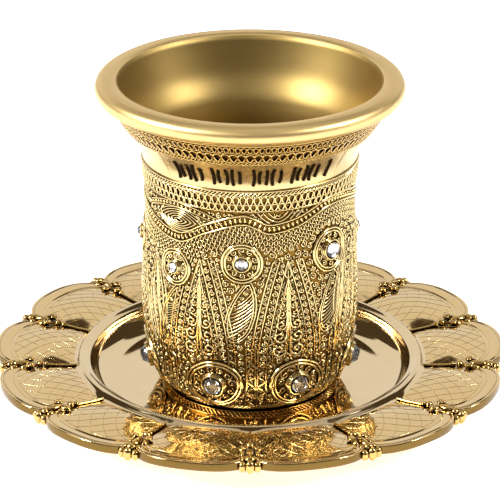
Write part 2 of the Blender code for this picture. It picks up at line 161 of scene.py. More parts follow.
def smooth_table(knots, count=600):
    """Heights and radii of a smooth curve through the knots that never swings past them."""
    x = np.array([k[0] for k in knots], float)
    y = np.array([k[1] for k in knots], float)
    chords = np.diff(y) / np.diff(x)
    slopes = [1.5 * chords[0]]
    for before, after in zip(chords, chords[1:]):
        slopes.append(2 * before * after / (before + after) if before * after > 0 else 0.0)
    slopes = np.array(slopes + [chords[-1]])
    heights = np.linspace(x[0], x[-1], count)
    i = np.clip(np.searchsorted(x, heights, side="right") - 1, 0, len(x) - 2)
    span = x[i + 1] - x[i]
    t = (heights - x[i]) / span
    rise = y[i + 1] - y[i]
    a = slopes[i] * span - rise
    b = rise - slopes[i + 1] * span
    return heights, y[i] + t * rise + t * (1 - t) * ((1 - t) * a + t * b)


HEIGHTS, RADII = smooth_table(CUP_KNOTS)
SLOPES = np.gradient(RADII, HEIGHTS)
SWAG_TURN = [(a - 360, h) for a, h in SWAG_KNOTS[-2:]] + list(SWAG_KNOTS) + [(a + 360, h) for a, h in SWAG_KNOTS[:2]]
SWAG_ANGLES, SWAG_RISES = smooth_table(SWAG_TURN, 1400)


def cup_radius(height):
    return np.interp(height, HEIGHTS, RADII)


def on_cup(angles, heights, offset=0.0):
    """Points over the cup's outer surface as rows of x, y, z, the offset measured square to it."""
    angles, heights = np.broadcast_arrays(np.asarray(angles, float), np.asarray(heights, float))
    slope = np.interp(heights, HEIGHTS, SLOPES)
    length = np.hypot(1.0, slope)
    radius = cup_radius(heights) + offset / length
    z = CUP_BASE_Z + heights - offset * slope / length
    turn = np.radians(angles)
    return np.stack([radius * np.sin(turn), -radius * np.cos(turn), z], axis=-1)


def swag_height(angles):
    """Height of the swag's middle line."""
    wrapped = (np.asarray(angles, float) + 180) % 360 - 180
    return WAIST_Z + np.interp(wrapped, SWAG_ANGLES, SWAG_RISES) * MM


def place(shape, angle, height, turn=0.0, mirror=False):
    """A flat shape in metres, as rows of across and up, laid on the cup as angles and heights."""
    shape = np.asarray(shape, float)
    x = -shape[:, 0] if mirror else shape[:, 0]
    c, s = math.cos(math.radians(turn)), math.sin(math.radians(turn))
    across = x * c - shape[:, 1] * s
    up = x * s + shape[:, 1] * c
    return np.stack([angle + np.degrees(across / cup_radius(height)), height + up], axis=-1)


# Flat shapes, in metres

def circle(radius, count=24, height=None):
    t = np.linspace(0, math.tau, count, endpoint=False)
    return np.stack([radius * np.cos(t), (height or radius) * np.sin(t)], axis=-1)


def spiral(radius, turns=1.6, count=16, start=0.0):
    """Scroll that runs in to its eye from a point at the start angle."""
    t = np.linspace(0, 1, count)
    r = radius * (1 - 0.86 * t ** 0.85)
    phase = math.radians(start) + math.tau * turns * t
    return np.stack([r * np.cos(phase), r * np.sin(phase)], axis=-1)


def teardrop(width, height, count=10):
    """Closed loop, pointed at the bottom."""
    t = np.linspace(0, math.tau, count, endpoint=False)
    return np.stack([0.5 * width * np.sin(t) * (1 - 0.35 * np.cos(t)), -0.5 * height * np.cos(t)], axis=-1)


def lens(width, height, count=28):
    """Pointed oval."""
    t = np.linspace(-1, 1, count // 2, endpoint=False)
    top = np.stack([0.5 * width * t, 0.5 * height * (1 - t * t)], axis=-1)
    return np.concatenate([top, -top])


# Making meshes

def deselect_all():
    bpy.ops.object.select_all(action="DESELECT")


def make_active(obj):
    deselect_all()
    obj.select_set(True)
    bpy.context.view_layer.objects.active = obj


def finish_piece(obj, material, slot, *replaced):
    """A finished piece gets its material, rides on the part and stands for the solids it replaces."""
    if material is not None:
        obj.data.materials.clear()
        obj.data.materials.append(material)
    obj.data.shade_smooth()
    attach(obj, "root")
    if replaced:
        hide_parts(*replaced)
    return obj


def draw_wires(name, strands, half_width, sides=4):
    """Round wires along rows of points, as one mesh. A strand is its points and whether it closes on itself."""
    curve = bpy.data.curves.new(name, "CURVE")
    curve.dimensions = "3D"
    curve.bevel_depth = half_width
    curve.bevel_resolution = (sides - 4) // 2
    curve.use_fill_caps = True
    for points, closed in strands:
        spline = curve.splines.new("POLY")
        spline.points.add(len(points) - 1)
        spline.points.foreach_set("co", np.column_stack([points, np.ones(len(points))]).ravel())
        spline.use_cyclic_u = closed
    obj = bpy.data.objects.new(name, curve)
    bpy.context.scene.collection.objects.link(obj)
    make_active(obj)
    bpy.ops.object.convert(target="MESH")
    return bpy.context.view_layer.objects.active


def copies_of(name, pattern, places):
    """One mesh with a copy of the pattern piece at each place: its centre, three axes and nothing shared."""
    count = len(pattern.data.vertices)
    local = np.zeros(count * 3)
    pattern.data.vertices.foreach_get("co", local)
    local = local.reshape(-1, 3)
    faces = [tuple(p.vertices) for p in pattern.data.polygons]
    points = []
    polygons = []
    for k, (centre, axes) in enumerate(places):
        points.append(local @ np.asarray(axes) + np.asarray(centre))
        polygons += [tuple(v + k * count for v in face) for face in faces]
    mesh = bpy.data.meshes.new(name)
    mesh.from_pydata(np.concatenate(points).tolist(), [], polygons)
    obj = bpy.data.objects.new(name, mesh)
    bpy.context.scene.collection.objects.link(obj)
    bpy.data.objects.remove(pattern)
    return obj


def joined(name, parts):
    """Several finished meshes as one piece."""
    make_active(parts[0])
    for part in parts[1:]:
        part.select_set(True)
    if len(parts) > 1:
        bpy.ops.object.join()
    obj = bpy.context.view_layer.objects.active
    obj.name = name
    obj.data.name = name
    return obj


def cup_axes(angle, height, turn=0.0, size=(1.0, 1.0, 1.0)):
    """Axes of a copy on the cup: across, up along the surface and out of it, turned and sized."""
    here = on_cup(angle, height)
    up = on_cup(angle, height + 0.1 * MM) - here
    up /= np.linalg.norm(up)
    out = on_cup(angle, height, 0.1 * MM) - here
    out /= np.linalg.norm(out)
    across = np.cross(up, out)
    c, s = math.cos(math.radians(turn)), math.sin(math.radians(turn))
    return np.array([(across * c + up * s) * size[0], (up * c - across * s) * size[1], out * size[2]])


def turned_shell(name, profile, segments):
    """Closed shell of revolution: a circle at the first ring, extruded ring by ring and capped at the end."""
    deselect_all()
    radius, z = profile[0]
    bpy.ops.mesh.primitive_circle_add(vertices=segments, radius=radius, fill_type="NGON", location=(0, 0, z))
    obj = bpy.context.view_layer.objects.active
    obj.name = obj.data.name = name
    bpy.ops.object.transform_apply(location=True, rotation=False, scale=False)
    bpy.ops.object.mode_set(mode="EDIT")
    bpy.ops.mesh.select_all(action="SELECT")
    for (near, low), (far, high) in zip(profile, profile[1:]):
        bpy.ops.mesh.extrude_region_move(TRANSFORM_OT_translate={"value": (0, 0, high - low)})
        share = far / near
        bpy.ops.transform.resize(value=(share, share, 1), center_override=(0, 0, high))
    bpy.ops.mesh.select_all(action="SELECT")
    bpy.ops.mesh.normals_make_consistent(inside=False)
    bpy.ops.object.mode_set(mode="OBJECT")
    return obj


# Materials

def linear(hex_colour):
    """sRGB hex colour as linear red, green, blue and alpha."""
    values = [int(hex_colour[i:i + 2], 16) / 255 for i in (0, 2, 4)]
    return (*[v / 12.92 if v <= 0.04045 else ((v + 0.055) / 1.055) ** 2.4 for v in values], 1.0)


def add_node(tree, kind, inputs=None, **settings):
    """A node with its settings, its input values and the sockets that feed it."""
    node = tree.nodes.new(kind)
    for key, value in settings.items():
        setattr(node, key, value)
    for key, value in (inputs or {}).items():
        if isinstance(value, bpy.types.NodeSocket):
            tree.links.new(value, node.inputs[key])
        else:
            node.inputs[key].default_value = value
    return node


def new_material(name):
    material = bpy.data.materials.new(name)
    material.use_nodes = True
    tree = material.node_tree
    return material, tree, tree.nodes["Principled BSDF"]


def metal_finish(name, colours, roughness, grain_mm, bump, stretch=(1, 1, 1), anisotropic=0.0, patina_and_shade_mm=0.0):
    """Gold plate over brass. Two close colours and roughnesses drift over the surface, and a fine grain of the
    given size in millimetres breaks the highlights as the polishing wheel or the brush leaves it. Painted
    shade, standing partly for patina, darkens corners that lie closer than its reach to other metal."""
    material, tree, shader = new_material(name)
    place_node = add_node(tree, "ShaderNodeTexCoord")
    coords = add_node(tree, "ShaderNodeMapping", {"Vector": place_node.outputs["Object"], "Scale": stretch})
    drift = add_node(tree, "ShaderNodeTexNoise", {
        "Vector": place_node.outputs["Object"], "Scale": 1 / (9 * MM), "Detail": 3.0})
    grain = add_node(tree, "ShaderNodeTexNoise", {
        "Vector": coords.outputs["Vector"], "Scale": 1 / (grain_mm * MM), "Detail": 4.0})
    colour = add_node(tree, "ShaderNodeMix", {
        0: drift.outputs["Fac"], 6: linear(colours[0]), 7: linear(colours[1])}, data_type="RGBA")
    rough = add_node(tree, "ShaderNodeMapRange", {
        "Value": grain.outputs["Fac"], "To Min": roughness[0], "To Max": roughness[1]})
    relief = add_node(tree, "ShaderNodeBump", {
        "Height": grain.outputs["Fac"], "Strength": bump, "Distance": 0.05 * MM})
    top = colour.outputs[2]
    if patina_and_shade_mm:
        # Painted shade: an ambient occlusion mask blends the colour towards dark brown 2B1C08 in corners and hollows
        # near other metal, standing partly for patina in them.
        corners = add_node(tree, "ShaderNodeAmbientOcclusion", {"Distance": patina_and_shade_mm * MM}, samples=8)
        open_share = add_node(tree, "ShaderNodeMapRange", {
            "Value": corners.outputs["AO"], "From Min": 0.3, "From Max": 0.85})
        top = add_node(tree, "ShaderNodeMix", {
            0: open_share.outputs["Result"], 6: linear("2B1C08"), 7: top}, data_type="RGBA").outputs[2]
    tree.links.new(top, shader.inputs["Base Color"])
    tree.links.new(rough.outputs["Result"], shader.inputs["Roughness"])
    tree.links.new(relief.outputs["Normal"], shader.inputs["Normal"])
    shader.inputs["Metallic"].default_value = 1.0
    shader.inputs["Anisotropic"].default_value = anisotropic
    return material


def polished_gold_plate():
    """Mirror polish: the eye sees the surroundings in it, with the faintest haze."""
    sizes = bpy.context.scene.kiddush_cup
    return metal_finish("polished_gold_plate", (sizes.gold, "DFC79B"), (0.05, 0.1), 1.2, 0.02)


def petal_gold_plate():
    """Polished petals: nearly a mirror, with fine brushing that runs out from the ring, and painted shade darkening the
    creases of the valleys.
    """
    return metal_finish("petal_gold_plate", ("E4C892", "DCBC84"), (0.06, 0.11), 0.5, 0.02, patina_and_shade_mm=0.7)


def shaded_edge_gold_plate():
    """Turned edge of the saucer in a deeper gold that is painted shade on the side facing out and down: it reads as a
    dark line around the bright petals.
    """
    return metal_finish("shaded_edge_gold_plate", ("7E6638", "6E562A"), (0.12, 0.2), 0.5, 0.03)


def inscription_gold_plate():
    """Polished band of a deeper gold: mid tone, so that the dark strokes stand out on it."""
    return metal_finish("inscription_gold_plate", ("E6CE98", "DABF86"), (0.24, 0.32), 1.0, 0.03)


def stroke_patina():
    """Blackened strokes of the inscription."""
    return metal_finish("stroke_patina", ("33240F", "1F1508"), (0.4, 0.6), 0.3, 0.3)


def shaded_brushed_gold_inside():
    """Same brushing inside the cup, in a deeper tone that is painted shade: the inside lies darker than the lip."""
    return metal_finish(
        "shaded_brushed_gold_inside", ("A28A54", "967E4A"), (0.38, 0.46), 0.35, 0.12, (0.12, 0.12, 3.0), 0.5)


def brushed_gold_plate():
    """Brushed along the turning direction: soft bands of light instead of reflections."""
    sizes = bpy.context.scene.kiddush_cup
    return metal_finish(
        "brushed_gold_plate", (sizes.satin, "DFC07E"), (0.34, 0.44), 0.35, 0.12, (0.12, 0.12, 3.0), 0.4)


def wire_gold_plate():
    """Polished wires and beads of the filigree: small bright glints, with painted shade at their roots beside the
    ground.
    """
    return metal_finish("wire_gold_plate", ("EFD9A2", "DEC280"), (0.09, 0.18), 0.4, 0.1, patina_and_shade_mm=0.5)


def cast_gold_plate():
    """Cast and polished ornaments and the band under the lip: bright on their backs and dark in every recess by painted
    shade. On the band the deeper gold is painted shade under the lip's overhang.
    """
    return metal_finish("cast_gold_plate", ("DDBC78", "CFA95F"), (0.12, 0.2), 0.5, 0.05, patina_and_shade_mm=1.3)


def darkened_gold():
    """Ground of the filigree, matted, in a darker gold that is partly patina and partly painted shade between the
    wires, with more painted shade in the corners beside them.
    """
    sizes = bpy.context.scene.kiddush_cup
    return metal_finish("darkened_gold", (sizes.patina, "684A1B"), (0.2, 0.36), 0.28, 0.8, patina_and_shade_mm=1.0)


def silver_foil():
    """Mirror foil behind a crystal: it throws the light back through the cut."""
    return metal_finish("silver_foil", ("F8F9FB", "ECEEF2"), (0.1, 0.2), 0.5, 0.05)


def cut_crystal():
    """Clear lead crystal: no colour of its own, bright and dark flashes from its cut."""
    material, _, shader = new_material("cut_crystal")
    shader.inputs["Base Color"].default_value = linear("FFFFFF")
    shader.inputs["Roughness"].default_value = 0.0
    shader.inputs["IOR"].default_value = 1.56
    shader.inputs["Transmission Weight"].default_value = 1.0
    return material


def get_material(maker):
    """The material that a function makes, made once."""
    return bpy.data.materials.get(maker.__name__) or maker()


# Cup

def lip_profile():
    """Rolled lip from the flare's end over the top, with its soft groove, to the inner edge."""
    rise = CUP_HEIGHT - UNDERLIP_Z
    roll = []
    for turn in np.linspace(-86, 74, 16):
        t = math.radians(turn)
        roll.append((LIP_RADIUS - 2.6 * MM * (1 - math.cos(t)), UNDERLIP_Z + 0.5 * rise + 0.49 * rise * math.sin(t)))
    groove = [(35.8 * MM, CUP_HEIGHT - 0.07 * MM), (35.55 * MM, CUP_HEIGHT - 0.15 * MM), (35.3 * MM, CUP_HEIGHT - 0.05 * MM)]
    top = [(34.6 * MM, CUP_HEIGHT), (33.8 * MM, CUP_HEIGHT - 0.05 * MM), (33.0 * MM, CUP_HEIGHT - 0.25 * MM)]
    return roll + groove + top + [(LIP_INNER_RADIUS, CUP_HEIGHT - 0.6 * MM)]


def inner_profile():
    """Inside of the cup from the lip down to the rounded floor."""
    flare = ((NECK_Z, 25.45 * MM), (NECK_Z + 3.2 * MM, 26.5 * MM), (FLARE_Z + 2 * MM, 29.4 * MM),
             (UNDERLIP_Z, LIP_INNER_RADIUS - 1.4 * MM), (CUP_HEIGHT - 0.6 * MM, LIP_INNER_RADIUS))
    rising, widening = smooth_table(flare, 16)
    side = list(zip(widening[-2:0:-1], rising[-2:0:-1]))
    heights = np.linspace(NECK_Z - 1 * MM, HIP_Z, 9)
    slope = np.interp(heights, HEIGHTS, SLOPES)
    length = np.hypot(1.0, slope)
    side += [(r - WALL / n, h + WALL * s / n) for r, h, s, n in zip(cup_radius(heights), heights, slope, length)]
    last_radius, last_height = side[-1]
    corner = []
    for turn in (20, 40, 60, 80, 90):
        t = math.radians(turn)
        corner.append((
            last_radius - 5 * MM * (1 - math.cos(t)), last_height - (last_height - FLOOR_HEIGHT) * math.sin(t)))
    return side + corner + [(12 * MM, FLOOR_HEIGHT), (2 * MM, FLOOR_HEIGHT)]


def cup_profile():
    """Whole section of the cup from the middle of its base, out, up, over the lip and down inside."""
    base = [(3 * MM, 0.8 * MM), (16.8 * MM, 0.8 * MM), (17.6 * MM, 0.0), (20.0 * MM, 0.0)]
    body = np.concatenate([np.linspace(0.25 * MM, HIP_Z, 14), np.linspace(HIP_Z + 1 * MM, NECK_Z, 40),
                           np.linspace(NECK_Z + 0.5 * MM, UNDERLIP_Z, 24)])
    outside = [(float(cup_radius(h)), float(h)) for h in body]
    section = base + outside + lip_profile() + inner_profile()
    return [(r, CUP_BASE_Z + h) for r, h in section]


class CupShell(bpy.types.Operator):
    """Turned shell of the cup: darkened ground, polished band and brushed lip and inside"""

    bl_idname = "kiddush.cup_shell"
    bl_label = "Cup shell"

    def execute(self, context):
        shell = turned_shell("cup_shell", cup_profile(), 192)
        materials = [get_material(m) for m in (darkened_gold, inscription_gold_plate, brushed_gold_plate, shaded_brushed_gold_inside)]
        for material in materials:
            shell.data.materials.append(material)
        low, high = (CUP_BASE_Z + h for h in (LOWER_BAND[1], UPPER_BAND[0]))
        for polygon in shell.data.polygons:
            radius = math.hypot(polygon.center.x, polygon.center.y)
            z = polygon.center.z
            height = z - CUP_BASE_Z
            outer = radius > cup_radius(min(max(height, 0.0), UNDERLIP_Z)) - 0.4 * WALL
            # The inside of the cup takes the darker brushed gold as painted shade.
            if not outer and radius < LIP_INNER_RADIUS + 0.1 * MM:
                polygon.material_index = 3
            elif z > CUP_BASE_Z + UPPER_BAND[1]:
                polygon.material_index = 2
            elif low < z < high:
                polygon.material_index = 1
        finish_piece(shell, None, "antique_gold", "cup")
        return {"FINISHED"}


def rope(height, offset, pitch, half):
    """Edge rope of a band: short leaning strokes all the way around."""
    strands = []
    count = round(math.tau * cup_radius(height) / pitch)
    for k in range(count):
        middle = 360 * k / count
        lean = np.degrees(np.array([-0.55, 0.0, 0.55]) * pitch / cup_radius(height))
        rise = np.array([-half, 0.0, half])
        strands.append((on_cup(middle + lean, height + rise, offset), False))
    return strands


def ring_wire(height, offset, count=160):
    return on_cup(np.linspace(0, 360, count, endpoint=False), height, offset), True


class UpperBand(bpy.types.Operator):
    """Band under the lip: a rope, a bold chain of loops and a row of small loops over it"""

    bl_idname = "kiddush.upper_band"
    bl_label = "Upper band"

    def execute(self, context):
        sizes = context.scene.kiddush_cup
        low, high = UPPER_BAND
        bold = [ring_wire(h, 0.1 * MM) for h in (low, low + 0.9 * MM, low + 3.7 * MM, high)]
        fine = rope(low + 0.45 * MM, 0.25 * MM, 0.95 * MM, 0.42 * MM)
        loops = []
        for count, wide, tall, up, strands in ((104, 1.75, 2.5, 2.3, loops), (150, 1.1, 1.9, 4.8, fine)):
            for k in range(count):
                shape = place(teardrop(wide * MM, tall * MM, 10), 360 * k / count, low + up * MM)
                strands.append((on_cup(*shape.T, 0.35 * MM), True))
        parts = [
            draw_wires("band_rings", bold, sizes.bold_wire, 6),
            draw_wires("band_chain", loops, 0.95 * sizes.bold_wire),
            draw_wires("band_loops", fine, sizes.wire),
        ]
        # The band takes the deeper cast gold as painted shade: the overhanging lip shadows it.
        finish_piece(joined("upper_band", parts), get_material(cast_gold_plate), "antique_gold")
        return {"FINISHED"}


class LowerBand(bpy.types.Operator):
    """Band under the inscription: a beaded edge and two rows of teardrop loops"""

    bl_idname = "kiddush.lower_band"
    bl_label = "Lower band"

    def execute(self, context):
        sizes = context.scene.kiddush_cup
        low, high = LOWER_BAND
        bold = [ring_wire(h, 0.12 * MM) for h in (high, high - 1.1 * MM, low)]
        fine = rope(high - 0.55 * MM, 0.25 * MM, 1.0 * MM, 0.4 * MM)
        count = 98
        for k in range(count):
            for row, (height, tall) in enumerate(((high - 2.35 * MM, 2.3 * MM), (high - 4.2 * MM, 1.9 * MM))):
                shape = place(teardrop(1.45 * MM, tall, 9), 360 * (k + 0.5 * row) / count, height)
                fine.append((on_cup(*shape.T, 0.3 * MM), True))
        parts = [draw_wires("band_rings", bold, sizes.bold_wire, 6), draw_wires("band_loops", fine, 1.12 * sizes.wire)]
        finish_piece(joined("lower_band", parts), get_material(wire_gold_plate), "antique_gold")
        return {"FINISHED"}


class Inscription(bpy.types.Operator):
    """Shallow strokes in the place of the inscription, in a panel between two fine lines"""

    bl_idname = "kiddush.inscription"
    bl_label = "Inscription strokes"

    def execute(self, context):
        middle = (LOWER_BAND[1] + UPPER_BAND[0]) / 2
        strands = []
        for k, angle in enumerate(np.arange(-38, 43, 3.3)):
            if k % 6 == 5:
                continue
            tall = (2.4, 1.8, 2.2)[k % 3] * MM
            bow = (0.28, -0.2, 0.12, -0.3)[k % 4] * MM
            t = np.linspace(-1, 1, 9)
            shape = np.stack([bow * (1 - t * t), tall * t], axis=-1)
            strands.append((on_cup(*place(shape, angle, middle).T, 0.02 * MM), False))
        marks = draw_wires("inscription_strokes", strands, 0.5 * MM, 6)
        finish_piece(marks, get_material(stroke_patina), "antique_gold")
        edges = [
            (on_cup(np.full(12, angle), np.linspace(LOWER_BAND[1], UPPER_BAND[0], 12), 0.0), False)
            for angle in (-46.0, 50.0)
        ]
        lines = draw_wires("panel_lines", edges, 0.12 * MM)
        finish_piece(lines, get_material(wire_gold_plate), "antique_gold")
        return {"FINISHED"}


class Swag(bpy.types.Operator):
    """Wavy ribbon of barrel beads between two wires, with rows of loops hanging under it"""

    bl_idname = "kiddush.swag"
    bl_label = "Swag ribbon"

    def execute(self, context):
        sizes = context.scene.kiddush_cup
        angles = np.linspace(-180, 180, 360, endpoint=False)
        edges = [(on_cup(angles, swag_height(angles) + up, 0.25 * MM), True) for up in (-1.15 * MM, 1.15 * MM)]
        wires = draw_wires("swag_wires", edges, sizes.bold_wire, 6)
        deselect_all()
        bpy.ops.mesh.primitive_uv_sphere_add(segments=8, ring_count=5, radius=1.0)
        bead = bpy.context.view_layer.objects.active
        count = round(math.tau * cup_radius(WAIST_Z) / sizes.bead_pitch)
        places = []
        for k in range(count):
            angle = -180 + 360 * k / count
            height = float(swag_height(angle))
            lean = math.degrees(math.atan2(
                float(swag_height(angle + 1) - swag_height(angle - 1)), cup_radius(height) * math.radians(2)))
            axes = cup_axes(angle, height, lean, (0.36 * MM, 0.85 * MM, 0.6 * MM))
            places.append((on_cup(angle, height, 0.15 * MM), axes))
        beads = copies_of("swag_beads", bead, places)
        loops = []
        for row in range(3):
            pitch = 1.25 * MM
            count = round(math.tau * cup_radius(WAIST_Z) / pitch)
            for k in range(count):
                angle = -180 + 360 * (k + 0.5 * (row % 2)) / count
                height = float(swag_height(angle)) - (2.3 + 1.45 * row) * MM
                loops.append((on_cup(*place(teardrop(0.95 * MM, 1.35 * MM, 7), angle, height).T, 0.2 * MM), True))
        hanging = draw_wires("swag_loops", loops, 0.8 * sizes.wire)
        finish_piece(joined("swag_ribbon", [wires, beads, hanging]), get_material(wire_gold_plate), "antique_gold")
        return {"FINISHED"}


def ring_of_scrolls(angle, height, turn, inner, outer_x, outer_y, count):
    """Small scrolls that face each other in pairs around a collet."""
    strands = []
    for k in range(count):
        phase = math.tau * (k + 0.5) / count
        x = 0.5 * (inner + outer_x) * math.cos(phase)
        y = 0.5 * (inner + outer_y) * math.sin(phase)
        room = 0.52 * (outer_y - inner)
        shape = spiral(room, 1.3, 10, math.degrees(phase)) * (1, 1 if k % 2 else -1) + (x, y)
        strands.append((on_cup(*place(shape, angle, height, turn).T, 0.25 * MM), False))
    return strands


def collet(angle, height, radius):
    """Upright band that holds a crystal, with its bead edge."""
    socket = radius + 0.3 * MM
    rings = []
    for r, offset in ((socket + 0.4 * MM, 0.2 * MM), (socket + 0.2 * MM, 0.65 * MM), (socket + 0.05 * MM, 1.05 * MM)):
        rings.append((on_cup(*place(circle(r, 24), angle, height).T, offset), True))
    return rings


class Medallions(bpy.types.Operator):
    """Round medallions: double rim, scrolls and the collet of a crystal"""

    bl_idname = "kiddush.medallions"
    bl_label = "Medallions"

    def execute(self, context):
        sizes = context.scene.kiddush_cup
        bold, fine, rims = [], [], []
        for angle, height, radius in MEDALLIONS:
            outer = radius + 3.3 * MM
            for r in (outer, outer - 0.75 * MM):
                bold.append((on_cup(*place(circle(r, 36), angle, height).T, 0.3 * MM), True))
            fine += ring_of_scrolls(angle, height, 0, radius + 0.8 * MM, outer - 0.75 * MM, outer - 0.75 * MM, 10)
            rims += collet(angle, height, radius)
        parts = [
            draw_wires("medallion_rims", bold, 1.25 * sizes.bold_wire, 6),
            draw_wires("medallion_scrolls", fine, 1.1 * sizes.wire),
            draw_wires("medallion_collets", rims, 0.26 * MM, 6),
        ]
        finish_piece(joined("medallions", parts), get_material(wire_gold_plate), "antique_gold")
        return {"FINISHED"}


def oval_lean(index):
    return 24 if index % 2 else -24


class Ovals(bpy.types.Operator):
    """Leaning ovals around the foot: double rim, scrolls, dots and the collet of a large crystal"""

    bl_idname = "kiddush.ovals"
    bl_label = "Ovals"

    def execute(self, context):
        sizes = context.scene.kiddush_cup
        bold, fine, rims = [], [], []
        for index, angle in enumerate(OVAL_ANGLES):
            lean = oval_lean(index)
            for inset in (0.0, 0.85 * MM):
                shape = place(circle(7.3 * MM - inset, 44, 6.2 * MM - inset), angle, OVAL_HEIGHT, lean)
                bold.append((on_cup(*shape.T, 0.45 * MM), True))
            fine += ring_of_scrolls(angle, OVAL_HEIGHT, lean, OVAL_STONE_RADIUS + 0.7 * MM, 6.4 * MM, 5.3 * MM, 12)
            rims += collet(angle, OVAL_HEIGHT, OVAL_STONE_RADIUS)
        parts = [
            draw_wires("oval_rims", bold, 1.25 * sizes.bold_wire, 6),
            draw_wires("oval_scrolls", fine, 1.15 * sizes.wire),
            draw_wires("oval_collets", rims, 0.3 * MM, 6),
        ]
        finish_piece(joined("ovals", parts), get_material(wire_gold_plate), "antique_gold")
        return {"FINISHED"}


# Filigree, laid out flat: across from the front and up from the cup's base, both in metres

BELT = 25.7 * MM
PER_DEGREE = BELT * math.radians(1)
TURN = 360 * PER_DEGREE
TREE_FOOT, TREE_TOP, ARCH_TOP, ARCH_FOOT = 16.3 * MM, 36.8 * MM, 41.3 * MM, 15.0 * MM
ARCH_WIDTH = 5.2 * MM
HANG = 5.5 * MM


def wrap(points, offset):
    points = np.asarray(points, float)
    return on_cup(points[:, 0] / PER_DEGREE, points[:, 1], offset)


def apart(x, centre):
    """Shortest way across from a centre, around the cup."""
    return (np.asarray(x) - centre + TURN / 2) % TURN - TURN / 2


def in_bosses(points, margin):
    """Which points lie on a medallion or an oval, or within the margin around it."""
    points = np.asarray(points, float)
    hit = np.zeros(len(points), bool)
    for angle, height, radius in MEDALLIONS:
        hit |= np.hypot(apart(points[:, 0], angle * PER_DEGREE), points[:, 1] - height) < radius + 3.3 * MM + margin
    for index, angle in enumerate(OVAL_ANGLES):
        across, up = apart(points[:, 0], angle * PER_DEGREE), points[:, 1] - OVAL_HEIGHT
        lean = math.radians(oval_lean(index))
        along = across * math.cos(lean) + up * math.sin(lean)
        beside = up * math.cos(lean) - across * math.sin(lean)
        hit |= np.hypot(along / (7.3 * MM + margin), beside / (6.2 * MM + margin)) < 1
    return hit


def in_swag(points, margin):
    """Which points lie on the swag or the loops that hang under it."""
    points = np.asarray(points, float)
    up = points[:, 1] - swag_height(points[:, 0] / PER_DEGREE)
    return (up > -HANG - margin) & (up < 1.4 * MM + margin)


def arch_width(up):
    """Half width of the pointed arch over a tree at a height."""
    share = np.clip((np.asarray(up) - ARCH_FOOT) / (ARCH_TOP - ARCH_FOOT), 0, 1)
    return ARCH_WIDTH * (1 - share ** 1.6)


def in_trees(points, margin):
    """Which points lie under the arch of a tree or within the margin beside it."""
    points = np.asarray(points, float)
    hit = np.zeros(len(points), bool)
    for angle in OVAL_ANGLES:
        across = np.abs(apart(points[:, 0], (angle - TREE_LAG) * PER_DEGREE))
        hit |= (across < arch_width(points[:, 1]) + margin) & (points[:, 1] < ARCH_TOP + margin)
    return hit


def kept(strand, *tests):
    """Runs of an open strand that none of the tests hits."""
    strand = np.asarray(strand, float)
    free = np.ones(len(strand), bool)
    for test, margin in tests:
        free &= ~test(strand, margin)
    runs, start = [], None
    for k, good in enumerate(list(free) + [False]):
        if good and start is None:
            start = k
        elif not good and start is not None:
            if k - start > 2:
                runs.append(strand[start:k])
            start = None
    return runs


def zigzag(inner, outer, pitch):
    """Line that runs to and fro between two rows of points of the same count."""
    inner, outer = np.asarray(inner), np.asarray(outer)
    length = np.concatenate([[0], np.cumsum(np.hypot(*np.diff(inner, axis=0).T))])
    steps = np.linspace(0, length[-1], max(3, int(length[-1] / pitch)))
    rows = [np.stack([np.interp(steps, length, side[:, k]) for k in (0, 1)], axis=-1) for side in (inner, outer)]
    line = rows[0].copy()
    line[1::2] = rows[1][1::2]
    return line


def tree_curls():
    """Radius and height of each pair of a tree's scrolls, from the foot up."""
    radii = (1.95, 1.75, 1.5, 1.25, 1.02, 0.82, 0.64)
    height = TREE_FOOT + 1.8 * MM
    for radius, above in zip(radii, radii[1:] + (0.4,)):
        yield radius * MM, height
        height += 0.98 * (radius + above) * MM


def tree_scrolls(centre):
    """Pairs of scrolls that hang from a slender stem and shrink towards its tip."""
    strands = [[(centre, h * MM) for h in np.linspace(25.0, 36.8, 12)]]
    for side in (-1, 1):
        strands.append([(centre + side * w * MM, h * MM) for w, h in (
            (0.8, 16.2), (0.55, 18.0), (0.42, 20.0), (0.32, 22.0), (0.15, 24.0), (0.0, 25.5))])
    for radius, height in tree_curls():
        curl = spiral(radius, 1.45, 17, 180) + (radius + 0.42 * MM, height)
        lead = [(0.2 * MM, height + 2.3 * radius), (0.26 * MM, height + 1.3 * radius),
                (0.36 * MM, height + 0.5 * radius)]
        shape = np.concatenate([lead, curl])
        strands += [shape * (side, 1) + (centre, 0) for side in (-1, 1)]
    leaf = teardrop(1.5 * MM, 2.7 * MM, 14) * (1, -1) + (centre, TREE_TOP + 1.5 * MM)
    strands.append(np.concatenate([leaf, leaf[:1]]))
    return strands


def arch_legs(centre, inset, count=60):
    """Both legs of a pointed arch, from the foot up to the tip."""
    up = np.linspace(ARCH_FOOT - 1.5 * MM, ARCH_TOP - 1.9 * max(inset, 0), count)
    width = arch_width(up) - inset
    return [np.stack([centre + side * np.maximum(width, 0), up], axis=-1) for side in (-1, 1)]


